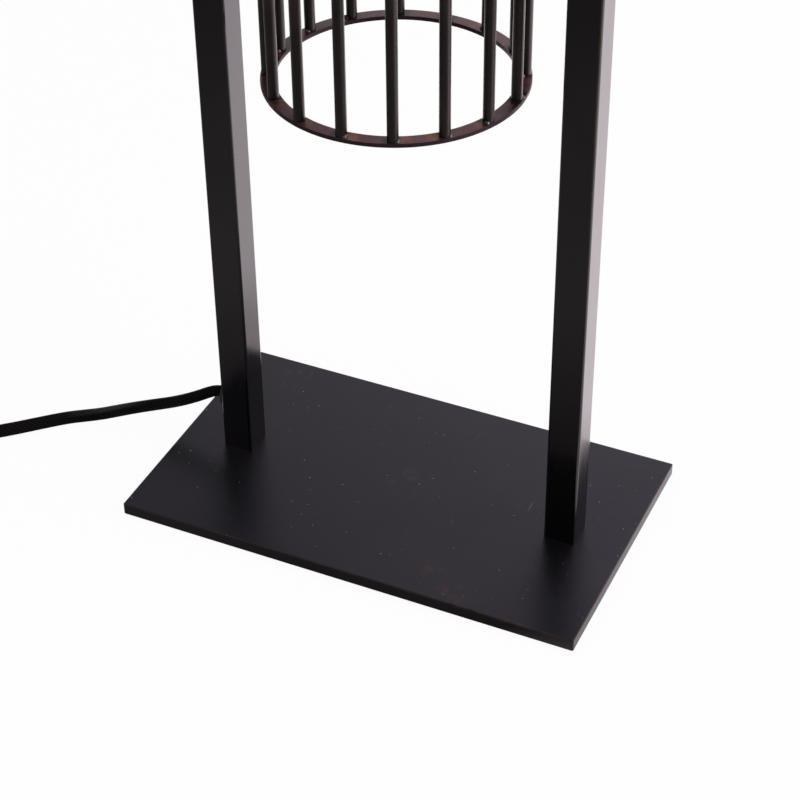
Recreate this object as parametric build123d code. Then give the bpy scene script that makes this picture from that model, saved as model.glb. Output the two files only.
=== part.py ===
from build123d import *
import math
import os

# A table lamp: a portal frame of square tube on a flat plate, with a round cage of rods
# and a lampholder under its top bar. Millimetres, +Z up. The origin is on the table, under
# the middle of the plate. +X runs along the plate, and -Y is the front.

# Shared values
overrun = 1.0  # how far a cut runs past a face
slip_fit = 0.05  # radial play of a shaft or shank in its hole
seat_gap = 0.1  # play of a loosely fitted piece in its seat

# Base plate and its pads
plate_length = 238.0
plate_depth = 140.0
plate_thickness = 6.5
plate_corner_radius = 0.8
plate_edge_break = 0.35
pad_diameter = 16.0
pad_thickness = 1.5
pad_inset = 15.0  # from the plate's edges to a pad's centre

# Frame of square tube
frame_height = 470.0  # from the table to the top of the bar
post_spread = 175.0  # between the posts' centre lines
tube_size = 16.0
tube_wall = 1.5
tube_corner_radius = 1.5

# Threaded plugs in the posts' feet, and the screws that hold the plate to them
foot_plug_height = 14.0
foot_screw_diameter = 6.0
foot_screw_length = 19.0
foot_screw_head_diameter = 12.0
foot_screw_head_height = 3.0
foot_screw_socket = 4.0
foot_screw_socket_depth = 2.2

# Cage
cage_drop = 18.0  # from the bar's underside to the cage's top
cage_ring_diameter = 118.0
cage_ring_width = 6.5
cage_ring_thickness = 2.0
cage_clearance = 230.0  # from the plate to the bottom ring
rod_diameter = 5.0
rod_count = 16
rod_edge_inset = 0.5  # from the ring's outer edge to a rod's side
rod_turn = 0.75  # degrees that the rods are turned from the frame's axes
spider_thickness = 2.5
spider_arm_width = 10.0
spider_arm_count = 4
spider_hub_diameter = 32.0
spider_edge_inset = 1.0  # from the ring's outer edge to an arm's end

# Hanger: a hollow threaded nipple in a bush, a sleeve, two washers and a nut
nipple_diameter = 10.0
nipple_bore = 7.5
nipple_engagement = 8.0  # its length in the lampholder's cap
hanger_bush_diameter = 13.0
hanger_bush_flange_diameter = 15.0
hanger_bush_flange_thickness = 1.5
hanger_bush_height = 5.0  # inside the bar
sleeve_diameter = 14.0
washer_diameter = 20.0
washer_thickness = 1.2
nut_size = 14.0  # across its flats
nut_height = 3.5

# Lampholder
holder_boss_diameter = 15.0
holder_boss_height = 7.0
holder_cap_diameter = 41.0
holder_cap_height = 28.0
holder_cap_wall = 1.8
holder_skirt_diameter = 38.0
holder_skirt_length = 35.0
holder_skirt_wall = 2.0
holder_skirt_lip = 3.0
insert_diameter = 33.6
insert_length = 32.0
insert_floor = 6.0
socket_gap = 0.4  # around the bulb's cap
contact_thickness = 0.8
contact_width = 6.0
contact_rivet_diameter = 3.0
contact_reach = 0.3  # how far the centre contact stands below the insert's floor
terminal_offset = 8.0  # from the axis to a terminal's centre
terminal_width = 6.0
terminal_height = 6.0
terminal_screw_diameter = 3.0
terminal_screw_head_diameter = 5.0
terminal_screw_head_height = 1.6
side_contact_offset = 10.5

# Bulb
bulb_diameter = 60.0
bulb_length = 104.0
bulb_glass_wall = 0.8
bulb_neck_diameter = 25.0
bulb_neck_depth = 8.0  # of the neck inside the bulb's cap
bulb_neck_fillet = 16.0
bulb_shoulder_angle = 42.0  # degrees above the widest ring where the round ends
bulb_cap_diameter = 26.2
bulb_cap_length = 21.0
bulb_cap_wall = 0.5
bulb_insulator_height = 3.0
bulb_insulator_diameter = 17.0
bulb_contact_diameter = 9.0
bulb_contact_height = 1.2
stem_flare_height = 6.0
stem_rim_height = 0.8
stem_diameter = 7.0
stem_length = 52.0
filament_count = 4
filament_diameter = 1.6
filament_length = 30.0
filament_circle = 16.0
filament_support_diameter = 0.6
filament_support_inset = 1.0

# Lead, with the bushing that grips it in the post, and its two conductors
cord_diameter = 6.8
cord_gap = 0.15  # radial play of the cord in a hole
cord_lift = 0.1  # from the table to the cord's underside
cord_exit_height = 35.3
cord_bend_share = 0.45  # of the shorter run beside a bend that its arc takes
bushing_flange_diameter = 12.6
bushing_flange_thickness = 2.2
bushing_barrel_diameter = 10.0
bushing_lip_diameter = 11.4
bushing_lip_thickness = 1.2
inner_bend_radius = 8.6
corner_bend_radius = 21.0
wall_clearance = 0.35  # from the inner lead to a tube's wall
inner_lead_end = 20.0  # from the nipple's axis to where the sheath ends
conductor_diameter = 2.3
conductor_spacing = 3.2
conductor_bend_radius = 6.4
terminal_bend_radius = 4.0

# In-line switch
switch_x = -280.0
switch_y = -60.0
switch_length = 66.0
switch_width = 27.0
switch_end_radius = 9.0
switch_base_height = 8.6
switch_cover_height = 8.4
switch_wall = 1.8
switch_cover_fillet = 2.6
switch_base_fillet = 1.2
switch_cord_entry = 7.0  # how far the cord reaches into each end
rocker_radius = 9.8
rocker_width = 9.0
rocker_gap = 0.4
rocker_pivot_drop = 4.6  # from the cover's top to the pivot
rocker_rise = 5.4  # from the pivot to the ridge
rocker_skirt = 3.0  # from the pivot to the underside
rocker_half_swing = 9.0  # degrees
pivot_pin_diameter = 3.0
pivot_pin_length = 1.4
lug_gap = 0.4
lug_thickness = 1.8
lug_width = 7.0
lug_height = 5.5
switch_screw_diameter = 2.9
switch_screw_head_diameter = 5.4
switch_screw_head_height = 1.8
switch_screw_x = 23.0
switch_screw_y = 8.0
switch_boss_diameter = 6.6
switch_contact_x = 13.0
switch_contact_length = 8.0
switch_contact_width = 5.0
switch_contact_height = 4.0

# Coil that is put away, and its tie
coil_x = -361.0
coil_outer_radius = 49.5  # of the first turn's line
coil_pitch = 8.8
coil_layer_height = 7.5
coil_half_turns_down = 5
coil_half_turns = 12
coil_gap_wanted = 0.4
tie_width = 10.0
tie_thickness = 0.8
tie_side_gap = 1.4
tie_corner_radius = 4.0

# Plug
plug_x = -418.0  # its back face
plug_length = 36.0
plug_head_length = 9.0
plug_width = 35.3
plug_grip_width = 25.0
plug_back_width = 19.0
plug_grip_share = 0.62
plug_thickness = 13.7
plug_fillet = 2.6
plug_pin_diameter = 4.0
plug_pin_length = 19.0
plug_pin_spacing = 18.6
plug_pin_neck_diameter = 3.2
plug_pin_root = 9.0  # its length inside the body
plug_pin_tip_fillet = 1.4
plug_sleeve_length = 10.0
plug_sleeve_gap = 0.02
relief_length = 24.0
relief_root_diameter = 11.4
relief_tip_diameter = 8.8
relief_groove_count = 4
relief_groove_width = 1.6
relief_groove_depth = 0.7
relief_cord_depth = 8.0  # how far the cord reaches into it

# Places that follow from the sizes
plate_bottom = pad_thickness
plate_top = plate_bottom + plate_thickness
post_x = post_spread / 2
bar_axis = frame_height - tube_size / 2
bar_bottom = frame_height - tube_size
tube_bore = tube_size - 2 * tube_wall
ring_radius = cage_ring_diameter / 2
ring_bottom = plate_top + cage_clearance
cage_top = bar_bottom - cage_drop
rod_radius = ring_radius - rod_edge_inset - rod_diameter / 2
rod_foot = ring_bottom + cage_ring_thickness
rod_head = cage_top - spider_thickness - cage_ring_thickness
nut_bottom = cage_top - spider_thickness - washer_thickness - nut_height
holder_rim = nut_bottom - holder_cap_height
insert_top = holder_rim
socket_floor = insert_top - insert_floor
nipple_bottom = nut_bottom - nipple_engagement
bulb_tip = socket_floor - contact_reach - seat_gap
bulb_bottom = bulb_tip - bulb_length
bulb_cap_top = bulb_tip - bulb_contact_height - bulb_insulator_height
bulb_cap_bottom = bulb_cap_top - bulb_cap_length
terminal_top = insert_top + contact_thickness + terminal_height
cord_radius = cord_diameter / 2
cord_rest = cord_radius + cord_lift
post_face = -post_x - tube_size / 2
cord_exit_x = post_face - bushing_flange_thickness
switch_top = switch_base_height + switch_cover_height
pivot_height = switch_top - rocker_pivot_drop
coil_bottom = 2 * cord_lift + tie_thickness + cord_radius
coil_top = coil_bottom + coil_layer_height
coil_y = switch_y + coil_outer_radius
coil_exit_y = coil_y - coil_outer_radius - coil_pitch / 2
bulb_neck_top = bulb_cap_bottom + bulb_neck_depth
bar_cord_height = bar_axis + tube_bore / 2 - wall_clearance - cord_radius
plug_axis = plug_thickness / 2 + cord_lift

# Routes of the cord, chosen by hand between the ends that the pieces set
lead_route = [
    (cord_exit_x, 0, cord_exit_height),
    (-101.6, 0, cord_exit_height),
    (-106.0, -1.0, 34.1),
    (-113.0, -2.8, 29.6),
    (-124.0, -4.7, 23.9),
    (-137.0, -5.9, 18.6),
    (-150.0, -6.9, 13.0),
    (-160.0, -7.5, 8.2),
    (-168.0, -8.9, 4.9),
    (-175.5, -11.9, 3.5),
    (-183.5, -17.3, 3.5),
    (-193.0, -26.0, 3.5),
    (-204.0, -36.4, 3.5),
    (-217.0, -47.8, 3.5),
    (-229.5, -56.0, 4.2),
    (-241.5, switch_y, switch_base_height),
    (switch_x + switch_length / 2 - switch_cord_entry, switch_y, switch_base_height),
]
link_route = [
    (switch_x - switch_length / 2 + switch_cord_entry, switch_y, switch_base_height),
    (-320.5, switch_y, switch_base_height),
    (-337.5, switch_y, coil_top),
    (coil_x + cord_diameter, switch_y, coil_top),
]
tail_route = [
    (coil_x - cord_diameter, coil_exit_y, coil_bottom),
    (-374.5, coil_exit_y, coil_bottom),
    (-388.5, coil_exit_y, plug_axis),
    (plug_x + relief_length - relief_cord_depth, coil_exit_y, plug_axis),
]


def disc(diameter, bottom, top, x=0, y=0):
    """An upright cylinder between two heights."""
    return Pos(x, y, bottom) * extrude(Circle(diameter / 2), top - bottom)


def rod_along_x(diameter, start, end, y=0, z=0):
    """A cylinder along X between two places."""
    return Plane(origin=(start, y, z), z_dir=(math.copysign(1, end - start), 0, 0)) * extrude(
        Circle(diameter / 2), abs(end - start)
    )


def rod_along_y(diameter, start, end, x=0, z=0):
    """A cylinder along Y between two places."""
    return Plane(origin=(x, start, z), z_dir=(0, math.copysign(1, end - start), 0)) * extrude(
        Circle(diameter / 2), abs(end - start)
    )


def block(size, centre):
    """A block of a size (x, y, z) about its centre."""
    return Pos(*centre) * Box(*size)


def turned(points):
    """A solid of revolution about Z from the points (radius, height) of its outline."""
    return revolve(Plane.XZ * make_face(Polyline(*points, close=True)), Axis.Z)


def group(*solids):
    """Separate solids that share one node."""
    return Compound(children=[solid for item in solids for solid in item.solids()])


# Base


def base_plate():
    outline = RectangleRounded(plate_length, plate_depth, plate_corner_radius)
    plate = Pos(0, 0, plate_bottom) * extrude(outline, plate_thickness)
    rims = plate.faces().sort_by(Axis.Z)
    plate = chamfer(rims[-1].edges() + rims[0].edges(), plate_edge_break)
    shank = foot_screw_diameter / 2 + slip_fit
    head = foot_screw_head_diameter / 2 + slip_fit
    for x in (-post_x, post_x):
        plate -= disc(2 * shank, plate_bottom - overrun, plate_top + overrun, x)
        plate -= Pos(x, 0, plate_bottom) * turned(
            [(0, 0), (head, 0), (shank, foot_screw_head_height), (0, foot_screw_head_height)]
        )
    return plate


def base_pads():
    across = plate_length / 2 - pad_inset
    along = plate_depth / 2 - pad_inset
    return group(
        *[disc(pad_diameter, 0, pad_thickness, x, y) for x in (-across, across) for y in (-along, along)]
    )


def foot_screws():
    shank = foot_screw_diameter / 2
    screws = []
    for x in (-post_x, post_x):
        screw = turned(
            [
                (0, 0),
                (foot_screw_head_diameter / 2, 0),
                (shank, foot_screw_head_height),
                (shank, foot_screw_length),
                (0, foot_screw_length),
            ]
        )
        socket = RegularPolygon(foot_screw_socket / 2, 6, major_radius=False)
        screws.append(Pos(x, 0, plate_bottom) * (screw - extrude(socket, foot_screw_socket_depth)))
    return group(*screws)


def foot_plug(side):
    bore = foot_screw_diameter / 2 + slip_fit
    width = tube_bore - 2 * slip_fit
    plug = Pos(side * post_x, 0, plate_top) * extrude(Rectangle(width, width), foot_plug_height)
    return plug - disc(2 * bore, plate_top - overrun, plate_top + foot_plug_height + overrun, side * post_x)


# Frame


def square_tube(length):
    outline = RectangleRounded(tube_size, tube_size, tube_corner_radius) - Rectangle(tube_bore, tube_bore)
    return extrude(outline, length)


def mitre_plane(side):
    """The plane of the joint between a post and the bar. The bar lies on its upper side."""
    return Plane(origin=(side * post_x, 0, bar_axis), z_dir=(-side, 0, 1))


def post(side):
    tube = Pos(side * post_x, 0, plate_top) * square_tube(frame_height - plate_top)
    tube = split(tube, bisect_by=mitre_plane(side), keep=Keep.BOTTOM)
    if side < 0:
        hole = bushing_barrel_diameter + 2 * slip_fit
        tube -= rod_along_x(hole, post_face - overrun, -post_x, z=cord_exit_height)
    return tube


def top_bar():
    length = post_spread + tube_size
    tube = Plane(origin=(-length / 2, 0, bar_axis), z_dir=(1, 0, 0)) * square_tube(length)
    for side in (-1, 1):
        tube = split(tube, bisect_by=mitre_plane(side), keep=Keep.TOP)
    hole = hanger_bush_diameter / 2 + slip_fit
    return tube - disc(2 * hole, bar_bottom - overrun, bar_axis)


def cable_bushing():
    inner_face = post_face + tube_wall
    bushing = rod_along_x(bushing_flange_diameter, cord_exit_x, post_face, z=cord_exit_height)
    bushing += rod_along_x(bushing_barrel_diameter, post_face, inner_face, z=cord_exit_height)
    bushing += rod_along_x(
        bushing_lip_diameter, inner_face, inner_face + bushing_lip_thickness, z=cord_exit_height
    )
    rim = bushing.edges().filter_by(GeomType.CIRCLE).sort_by(Axis.X)[0]
    bushing = fillet(rim, bushing_flange_thickness / 3)
    bore = cord_diameter + 2 * cord_gap
    return bushing - rod_along_x(bore, cord_exit_x - overrun, -post_x, z=cord_exit_height)


# Cage and hanger


def cage_ring(bottom):
    outline = Circle(ring_radius) - Circle(ring_radius - cage_ring_width)
    return Pos(0, 0, bottom) * extrude(outline, cage_ring_thickness)


def cage_rod(number):
    angle = math.radians(rod_turn + 360 * number / rod_count)
    x, y = rod_radius * math.cos(angle), rod_radius * math.sin(angle)
    return disc(rod_diameter, rod_foot, rod_head, x, y)


def cage_spider():
    reach = ring_radius - spider_edge_inset
    outline = Circle(spider_hub_diameter / 2)
    for number in range(spider_arm_count // 2):
        outline += Rot(0, 0, 360 * number / spider_arm_count) * Rectangle(2 * reach, spider_arm_width)
    outline -= Circle(nipple_diameter / 2 + slip_fit)
    return Pos(0, 0, cage_top - spider_thickness) * extrude(outline, spider_thickness)


def hanger_bush():
    flange_bottom = bar_bottom - hanger_bush_flange_thickness
    top = bar_bottom + tube_wall + hanger_bush_height
    bush = disc(hanger_bush_flange_diameter, flange_bottom, bar_bottom)
    bush += disc(hanger_bush_diameter, bar_bottom, top)
    return bush - disc(nipple_diameter + 2 * slip_fit, flange_bottom - overrun, top + overrun)


def hanger_nipple():
    top = bar_bottom + tube_wall + hanger_bush_height
    bore = disc(nipple_bore, nipple_bottom - overrun, top + overrun)
    return disc(nipple_diameter, nipple_bottom, top) - bore


def hanger_sleeve():
    bottom = cage_top + washer_thickness
    top = bar_bottom - hanger_bush_flange_thickness
    bore = nipple_diameter + 2 * slip_fit
    return disc(sleeve_diameter, bottom, top) - disc(bore, bottom - overrun, top + overrun)


def hanger_washers():
    outline = Circle(washer_diameter / 2) - Circle(nipple_diameter / 2 + slip_fit)
    washer = extrude(outline, washer_thickness)
    bottoms = (cage_top, cage_top - spider_thickness - washer_thickness)
    return group(*[Pos(0, 0, z) * washer for z in bottoms])


def hanger_nut():
    outline = RegularPolygon(nut_size / 2, 6, major_radius=False) - Circle(nipple_diameter / 2 + slip_fit)
    return Pos(0, 0, nut_bottom) * extrude(outline, nut_height)


# Lampholder


def holder_cap():
    rim, wall = holder_cap_diameter / 2, holder_cap_wall
    boss = holder_boss_diameter / 2
    shoulder = nut_bottom - holder_boss_height
    cap = turned(
        [
            (0, nut_bottom),
            (boss, nut_bottom),
            (boss, shoulder),
            (rim, shoulder - (rim - boss)),
            (rim, holder_rim),
            (0, holder_rim),
        ]
    )
    cap = fillet(cap.edges().filter_by(GeomType.CIRCLE).group_by(Axis.Z)[1], holder_boss_height)
    hollow = turned(
        [
            (0, shoulder - wall),
            (boss, shoulder - wall),
            (rim - wall, shoulder - wall - (rim - wall - boss)),
            (rim - wall, holder_rim - overrun),
            (0, holder_rim - overrun),
        ]
    )
    return cap - hollow - disc(nipple_diameter + 2 * slip_fit, holder_rim, nut_bottom + overrun)


def holder_skirt():
    outer, bottom = holder_skirt_diameter / 2, holder_rim - holder_skirt_length
    lip_outer = holder_cap_diameter / 2
    skirt = turned(
        [
            (0, bottom),
            (outer, bottom),
            (outer, holder_rim - holder_skirt_lip),
            (lip_outer, holder_rim - holder_skirt_lip),
            (lip_outer, holder_rim),
            (0, holder_rim),
        ]
    )
    bore = outer - holder_skirt_wall
    mouth = insert_diameter / 2 - holder_skirt_wall
    step = holder_rim - insert_length
    skirt -= disc(2 * bore, step, holder_rim + overrun)
    return skirt - disc(2 * mouth, bottom - overrun, step + overrun)


def holder_insert():
    bottom = insert_top - insert_length
    insert = disc(insert_diameter, bottom, insert_top)
    insert -= disc(bulb_cap_diameter + 2 * socket_gap, bottom - overrun, socket_floor)
    for y in (0, -side_contact_offset):
        rivet = contact_rivet_diameter + 2 * slip_fit
        insert -= disc(rivet, socket_floor - overrun, insert_top + overrun, 0, y)
    return insert


def holder_contacts():
    """The centre contact and the side contact, each a rivet, a strip and a terminal block."""
    contacts = []
    for side, rivet_y in ((1, 0), (-1, -side_contact_offset)):
        outer_end = side * (terminal_offset + terminal_width / 2)
        inner_end = rivet_y - side * contact_width / 2
        low, high = sorted((outer_end, inner_end))
        strip = block(
            (contact_width, high - low, contact_thickness),
            (0, (low + high) / 2, insert_top + contact_thickness / 2),
        )
        terminal = block(
            (terminal_width, terminal_width, terminal_height),
            (0, side * terminal_offset, terminal_top - terminal_height / 2),
        )
        terminal -= rod_along_x(
            terminal_screw_diameter + 2 * slip_fit,
            -terminal_width,
            terminal_width,
            side * terminal_offset,
            terminal_top - terminal_height / 2,
        )
        rivet = disc(contact_rivet_diameter, socket_floor - contact_reach, insert_top, 0, rivet_y)
        contacts.append(strip + terminal + rivet)
    return group(*contacts)


def holder_screws():
    screws = []
    for side in (-1, 1):
        y, z = side * terminal_offset, terminal_top - terminal_height / 2
        head_seat = terminal_width / 2
        screw = rod_along_x(terminal_screw_diameter, -head_seat, head_seat, y, z)
        screw += rod_along_x(
            terminal_screw_head_diameter, head_seat, head_seat + terminal_screw_head_height, y, z
        )
        screws.append(screw)
    return group(*screws)


# Bulb


def bulb_outline(inset):
    """The bulb's outline, shrunk by inset. Its neck is open at the top."""
    radius, neck = bulb_diameter / 2 - inset, bulb_neck_diameter / 2 - inset
    middle = bulb_bottom + bulb_diameter / 2
    angle = math.radians(bulb_shoulder_angle)
    shoulder = (radius * math.cos(angle), middle + radius * math.sin(angle))
    neck_start = shoulder[1] + (shoulder[0] - neck) / math.tan(angle)
    halfway = (radius * math.cos(angle / 2), middle - radius * math.sin(angle / 2))
    line = [
        ThreePointArc((0, middle - radius), halfway, shoulder),
        Line(shoulder, (neck, neck_start)),
        Line((neck, neck_start), (neck, bulb_neck_top)),
        Line((neck, bulb_neck_top), (0, bulb_neck_top)),
        Line((0, bulb_neck_top), (0, middle - radius)),
    ]
    face = make_face(line)
    corner = face.vertices().sort_by_distance((neck, neck_start))[0]
    return fillet(corner, bulb_neck_fillet + inset)


def bulb_glass():
    glass = revolve(Plane.XZ * bulb_outline(0), Axis.Z)
    hollow = revolve(Plane.XZ * bulb_outline(bulb_glass_wall), Axis.Z)
    bore = bulb_neck_diameter - 2 * bulb_glass_wall
    opening = disc(bore, bulb_neck_top - overrun, bulb_neck_top + overrun)
    return glass - hollow - opening


def bulb_cap():
    outer = disc(bulb_cap_diameter, bulb_cap_bottom, bulb_cap_top)
    bore = bulb_cap_diameter - 2 * bulb_cap_wall
    inner = disc(bore, bulb_cap_bottom - overrun, bulb_cap_top - bulb_cap_wall)
    opening = disc(bulb_insulator_diameter / 2, bulb_cap_bottom, bulb_cap_top + overrun)
    return outer - inner - opening


def bulb_insulator():
    return turned(
        [
            (0, bulb_cap_top),
            (bulb_insulator_diameter / 2, bulb_cap_top),
            (bulb_contact_diameter / 2, bulb_cap_top + bulb_insulator_height),
            (0, bulb_cap_top + bulb_insulator_height),
        ]
    )


def bulb_contact():
    return disc(bulb_contact_diameter, bulb_tip - bulb_contact_height, bulb_tip)


def bulb_stem():
    """The glass stem: a flare that closes the neck, and a post with a rounded end."""
    flare = bulb_neck_diameter / 2 - bulb_glass_wall - seat_gap
    radius = stem_diameter / 2
    return turned(
        [
            (0, bulb_neck_top - stem_length),
            (radius, bulb_neck_top - stem_length),
            (radius, bulb_neck_top - stem_flare_height),
            (flare, bulb_neck_top - stem_rim_height),
            (flare, bulb_neck_top),
            (0, bulb_neck_top),
        ]
    )


def bulb_filaments():
    """Upright filaments in a circle, each held by a support at both ends."""
    top = bulb_neck_top - stem_flare_height
    bottom = top - filament_length
    filaments = []
    for number in range(filament_count):
        turn = Rot(0, 0, 360 * number / filament_count)
        filament = disc(filament_diameter, bottom, top - filament_support_inset, filament_circle / 2)
        for z in (bottom + filament_support_inset, top - 2 * filament_support_inset):
            filament += rod_along_x(
                filament_support_diameter, stem_diameter / 2 + slip_fit, filament_circle / 2, z=z
            )
        filaments.append(turn * filament)
    return group(*filaments)


# Cord


def bend_radii(name, points):
    """The radius of each bend, as large as the shorter of its two runs allows."""
    radii = []
    for before, here, after in zip(points, points[1:], points[2:]):
        run_in, run_out = Vector(*here) - Vector(*before), Vector(*after) - Vector(*here)
        half_turn = math.radians(run_in.get_angle(run_out) / 2)
        radii.append(cord_bend_share * min(run_in.length, run_out.length) / math.tan(half_turn))
    print(name, "bend radii", [round(radius, 1) for radius in radii])
    return radii


def tube_on(name, path, diameter):
    """A round tube along a path, its volume set against its section times its length."""
    tube = sweep(Plane(origin=path @ 0, z_dir=path % 0) * Circle(diameter / 2), path=path)
    wanted = math.pi * (diameter / 2) ** 2 * path.length
    print(name, "length", round(path.length, 1), "volume share", round(tube.volume / wanted, 4))
    return tube


def free_cord(name, points):
    return tube_on(name, FilletPolyline(*points, radius=bend_radii(name, points)), cord_diameter)


def inner_lead():
    """The lead inside the frame: through the bushing, up the post and along the bar."""
    near_wall = -post_x + tube_bore / 2 - wall_clearance - cord_radius
    far_wall = -post_x - tube_bore / 2 + wall_clearance + cord_radius
    points = [
        (cord_exit_x, 0, cord_exit_height),
        (near_wall, 0, cord_exit_height),
        (far_wall, 0, bar_cord_height),
        (-inner_lead_end, 0, bar_cord_height),
    ]
    path = FilletPolyline(*points, radius=[inner_bend_radius, corner_bend_radius])
    return tube_on("inner lead", path, cord_diameter)


def conductor(side):
    """One insulated conductor, from the sheath's end through the nipple to its terminal."""
    y, offset = side * conductor_spacing / 2, side * terminal_offset
    spread_start = nipple_bottom - conductor_diameter
    spread_end = terminal_top + terminal_bend_radius
    points = [
        (-inner_lead_end, y, bar_cord_height),
        (0, y, bar_cord_height),
        (0, y, spread_start),
        (0, offset, spread_end),
        (0, offset, terminal_top),
    ]
    radii = [conductor_bend_radius, terminal_bend_radius, terminal_bend_radius]
    return tube_on("conductor", FilletPolyline(*points, radius=radii), conductor_diameter)


# Coil


def coil_points():
    """The line's places on the coil's front and back, half a turn apart, with their heights."""
    places, offset = [], coil_outer_radius
    for number in range(coil_half_turns + 1):
        side = -1 if number % 2 == 0 else 1
        height = coil_top if number <= coil_half_turns_down else coil_bottom
        places.append((coil_x, coil_y + side * offset, height))
        if number < coil_half_turns_down:
            offset -= coil_pitch / 2
        elif number > coil_half_turns_down:
            offset += coil_pitch / 2
    return places


def coil_path():
    """Half turns with level ends: inwards on the upper layer, down, and outwards below."""
    places = [Vector(*place) for place in coil_points()]
    edges = [Line(places[0] + Vector(cord_diameter, 0, 0), places[0])]
    for number, (start, end) in enumerate(zip(places, places[1:])):
        side = -1 if number % 2 == 0 else 1
        middle = (start + end) / 2 + Vector(side * (end - start).length / 2, 0, 0)
        edges.append(ThreePointArc(start, middle, end))
    edges.append(Line(places[-1], places[-1] - Vector(cord_diameter, 0, 0)))
    return edges


def coil_gap(edges):
    """The least gap between two places on the coil that are half a turn or more apart."""
    steps = 36
    line = [edge @ (step / steps) for edge in edges[1:-1] for step in range(steps)]
    return min(
        (line[a] - line[b]).length for a in range(len(line)) for b in range(a + steps, len(line))
    ) - cord_diameter


def cord_coil():
    edges = coil_path()
    gap = coil_gap(edges)
    print("coil turns", coil_half_turns / 2, "least gap", round(gap, 2), "wanted over", coil_gap_wanted)
    return tube_on("coil", Wire([edge.edge() for edge in edges]), cord_diameter)


def coil_tie():
    """A strap round the coil's left side."""
    half = cord_radius + tie_side_gap
    outer = coil_x - (coil_outer_radius - coil_pitch / 4) - half
    inner = coil_x - (coil_outer_radius - coil_pitch * 9 / 4) + half
    low = coil_bottom - cord_radius - cord_lift
    high = coil_top + cord_radius + cord_lift
    width, height = inner - outer, high - low
    outline = RectangleRounded(
        width + 2 * tie_thickness, height + 2 * tie_thickness, tie_corner_radius + tie_thickness
    ) - RectangleRounded(width, height, tie_corner_radius)
    middle = (outer + width / 2, coil_y - tie_width / 2, low + height / 2)
    return Plane(origin=middle, x_dir=(1, 0, 0), z_dir=(0, 1, 0)) * extrude(outline, tie_width)


# Switch


def switch_outline(inset):
    return RectangleRounded(
        switch_length - 2 * inset, switch_width - 2 * inset, switch_end_radius - inset
    )


def switch_screw_places():
    return [
        (switch_x + side * switch_screw_x, switch_y + side * switch_screw_y) for side in (-1, 1)
    ]


def cord_tunnel():
    return rod_along_x(
        cord_diameter + 2 * cord_gap,
        switch_x - switch_length / 2 - overrun,
        switch_x + switch_length / 2 + overrun,
        switch_y,
        switch_base_height,
    )


def switch_base():
    place = Pos(switch_x, switch_y, cord_lift)
    height = switch_base_height - cord_lift
    shell = extrude(switch_outline(0), height)
    shell = place * fillet(shell.faces().sort_by(Axis.Z)[0].edges(), switch_base_fillet)
    shell -= Pos(switch_x, switch_y, cord_lift + switch_wall) * extrude(switch_outline(switch_wall), height)
    for x, y in switch_screw_places():
        shell += disc(switch_boss_diameter, cord_lift + switch_wall, switch_base_height, x, y)
        shell -= disc(switch_screw_diameter + 2 * slip_fit, 0, switch_base_height + overrun, x, y)
        head = switch_screw_head_diameter + 2 * slip_fit
        shell -= disc(head, 0, cord_lift + switch_screw_head_height, x, y)
    return shell - cord_tunnel()


def switch_cover():
    place = Pos(switch_x, switch_y, switch_base_height)
    shell = extrude(switch_outline(0), switch_cover_height)
    shell = place * fillet(shell.faces().sort_by(Axis.Z)[-1].edges(), switch_cover_fillet)
    shell -= place * extrude(switch_outline(switch_wall), switch_cover_height - switch_wall)
    ceiling = switch_top - switch_wall
    inner = rocker_width / 2 + lug_gap
    pin_hole = pivot_pin_diameter + 2 * slip_fit
    for side in (-1, 1):
        middle = switch_y + side * (inner + lug_thickness / 2)
        shell += block((lug_width, lug_thickness, lug_height), (switch_x, middle, ceiling - lug_height / 2))
        shell -= rod_along_y(
            pin_hole,
            switch_y + side * (inner - overrun / 2),
            switch_y + side * (inner + lug_thickness + overrun / 2),
            switch_x,
            pivot_height,
        )
    window = (2 * (rocker_radius + rocker_gap), rocker_width + 2 * rocker_gap, 2 * switch_wall + overrun)
    shell -= block(window, (switch_x, switch_y, switch_top))
    for x, y in switch_screw_places():
        shell += disc(switch_boss_diameter, switch_base_height, ceiling, x, y)
        bore = switch_screw_diameter + 2 * slip_fit
        shell -= disc(bore, switch_base_height - overrun, ceiling - overrun, x, y)
    return shell - cord_tunnel()


def switch_rocker():
    """The rocker at rest, tilted to one side. Its top is two faces that meet in a ridge."""
    fall = rocker_radius * math.tan(math.radians(rocker_half_swing))
    profile = Circle(rocker_radius) & make_face(
        Polyline(
            (-rocker_radius, -rocker_skirt),
            (rocker_radius, -rocker_skirt),
            (rocker_radius, rocker_rise - fall),
            (0, rocker_rise),
            (-rocker_radius, rocker_rise - fall),
            close=True,
        )
    )
    upright = Plane(origin=(0, rocker_width / 2, 0), x_dir=(1, 0, 0), z_dir=(0, -1, 0))
    rocker = upright * extrude(profile, rocker_width)
    reach = rocker_width / 2 + lug_gap + pivot_pin_length
    rocker += rod_along_y(pivot_pin_diameter, -reach, reach)
    return Pos(switch_x, switch_y, pivot_height) * Rot(0, -rocker_half_swing, 0) * rocker


def switch_contacts():
    floor = cord_lift + switch_wall
    size = (switch_contact_length, switch_contact_width, switch_contact_height)
    return group(
        *[
            block(size, (switch_x + side * switch_contact_x, switch_y, floor + switch_contact_height / 2))
            for side in (-1, 1)
        ]
    )


def switch_screws():
    ceiling = switch_top - switch_wall
    screws = []
    for x, y in switch_screw_places():
        seat = cord_lift + switch_screw_head_height
        screw = disc(switch_screw_head_diameter, cord_lift, seat, x, y)
        screws.append(screw + disc(switch_screw_diameter, seat, ceiling - 2 * overrun, x, y))
    return group(*screws)


# Plug


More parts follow.
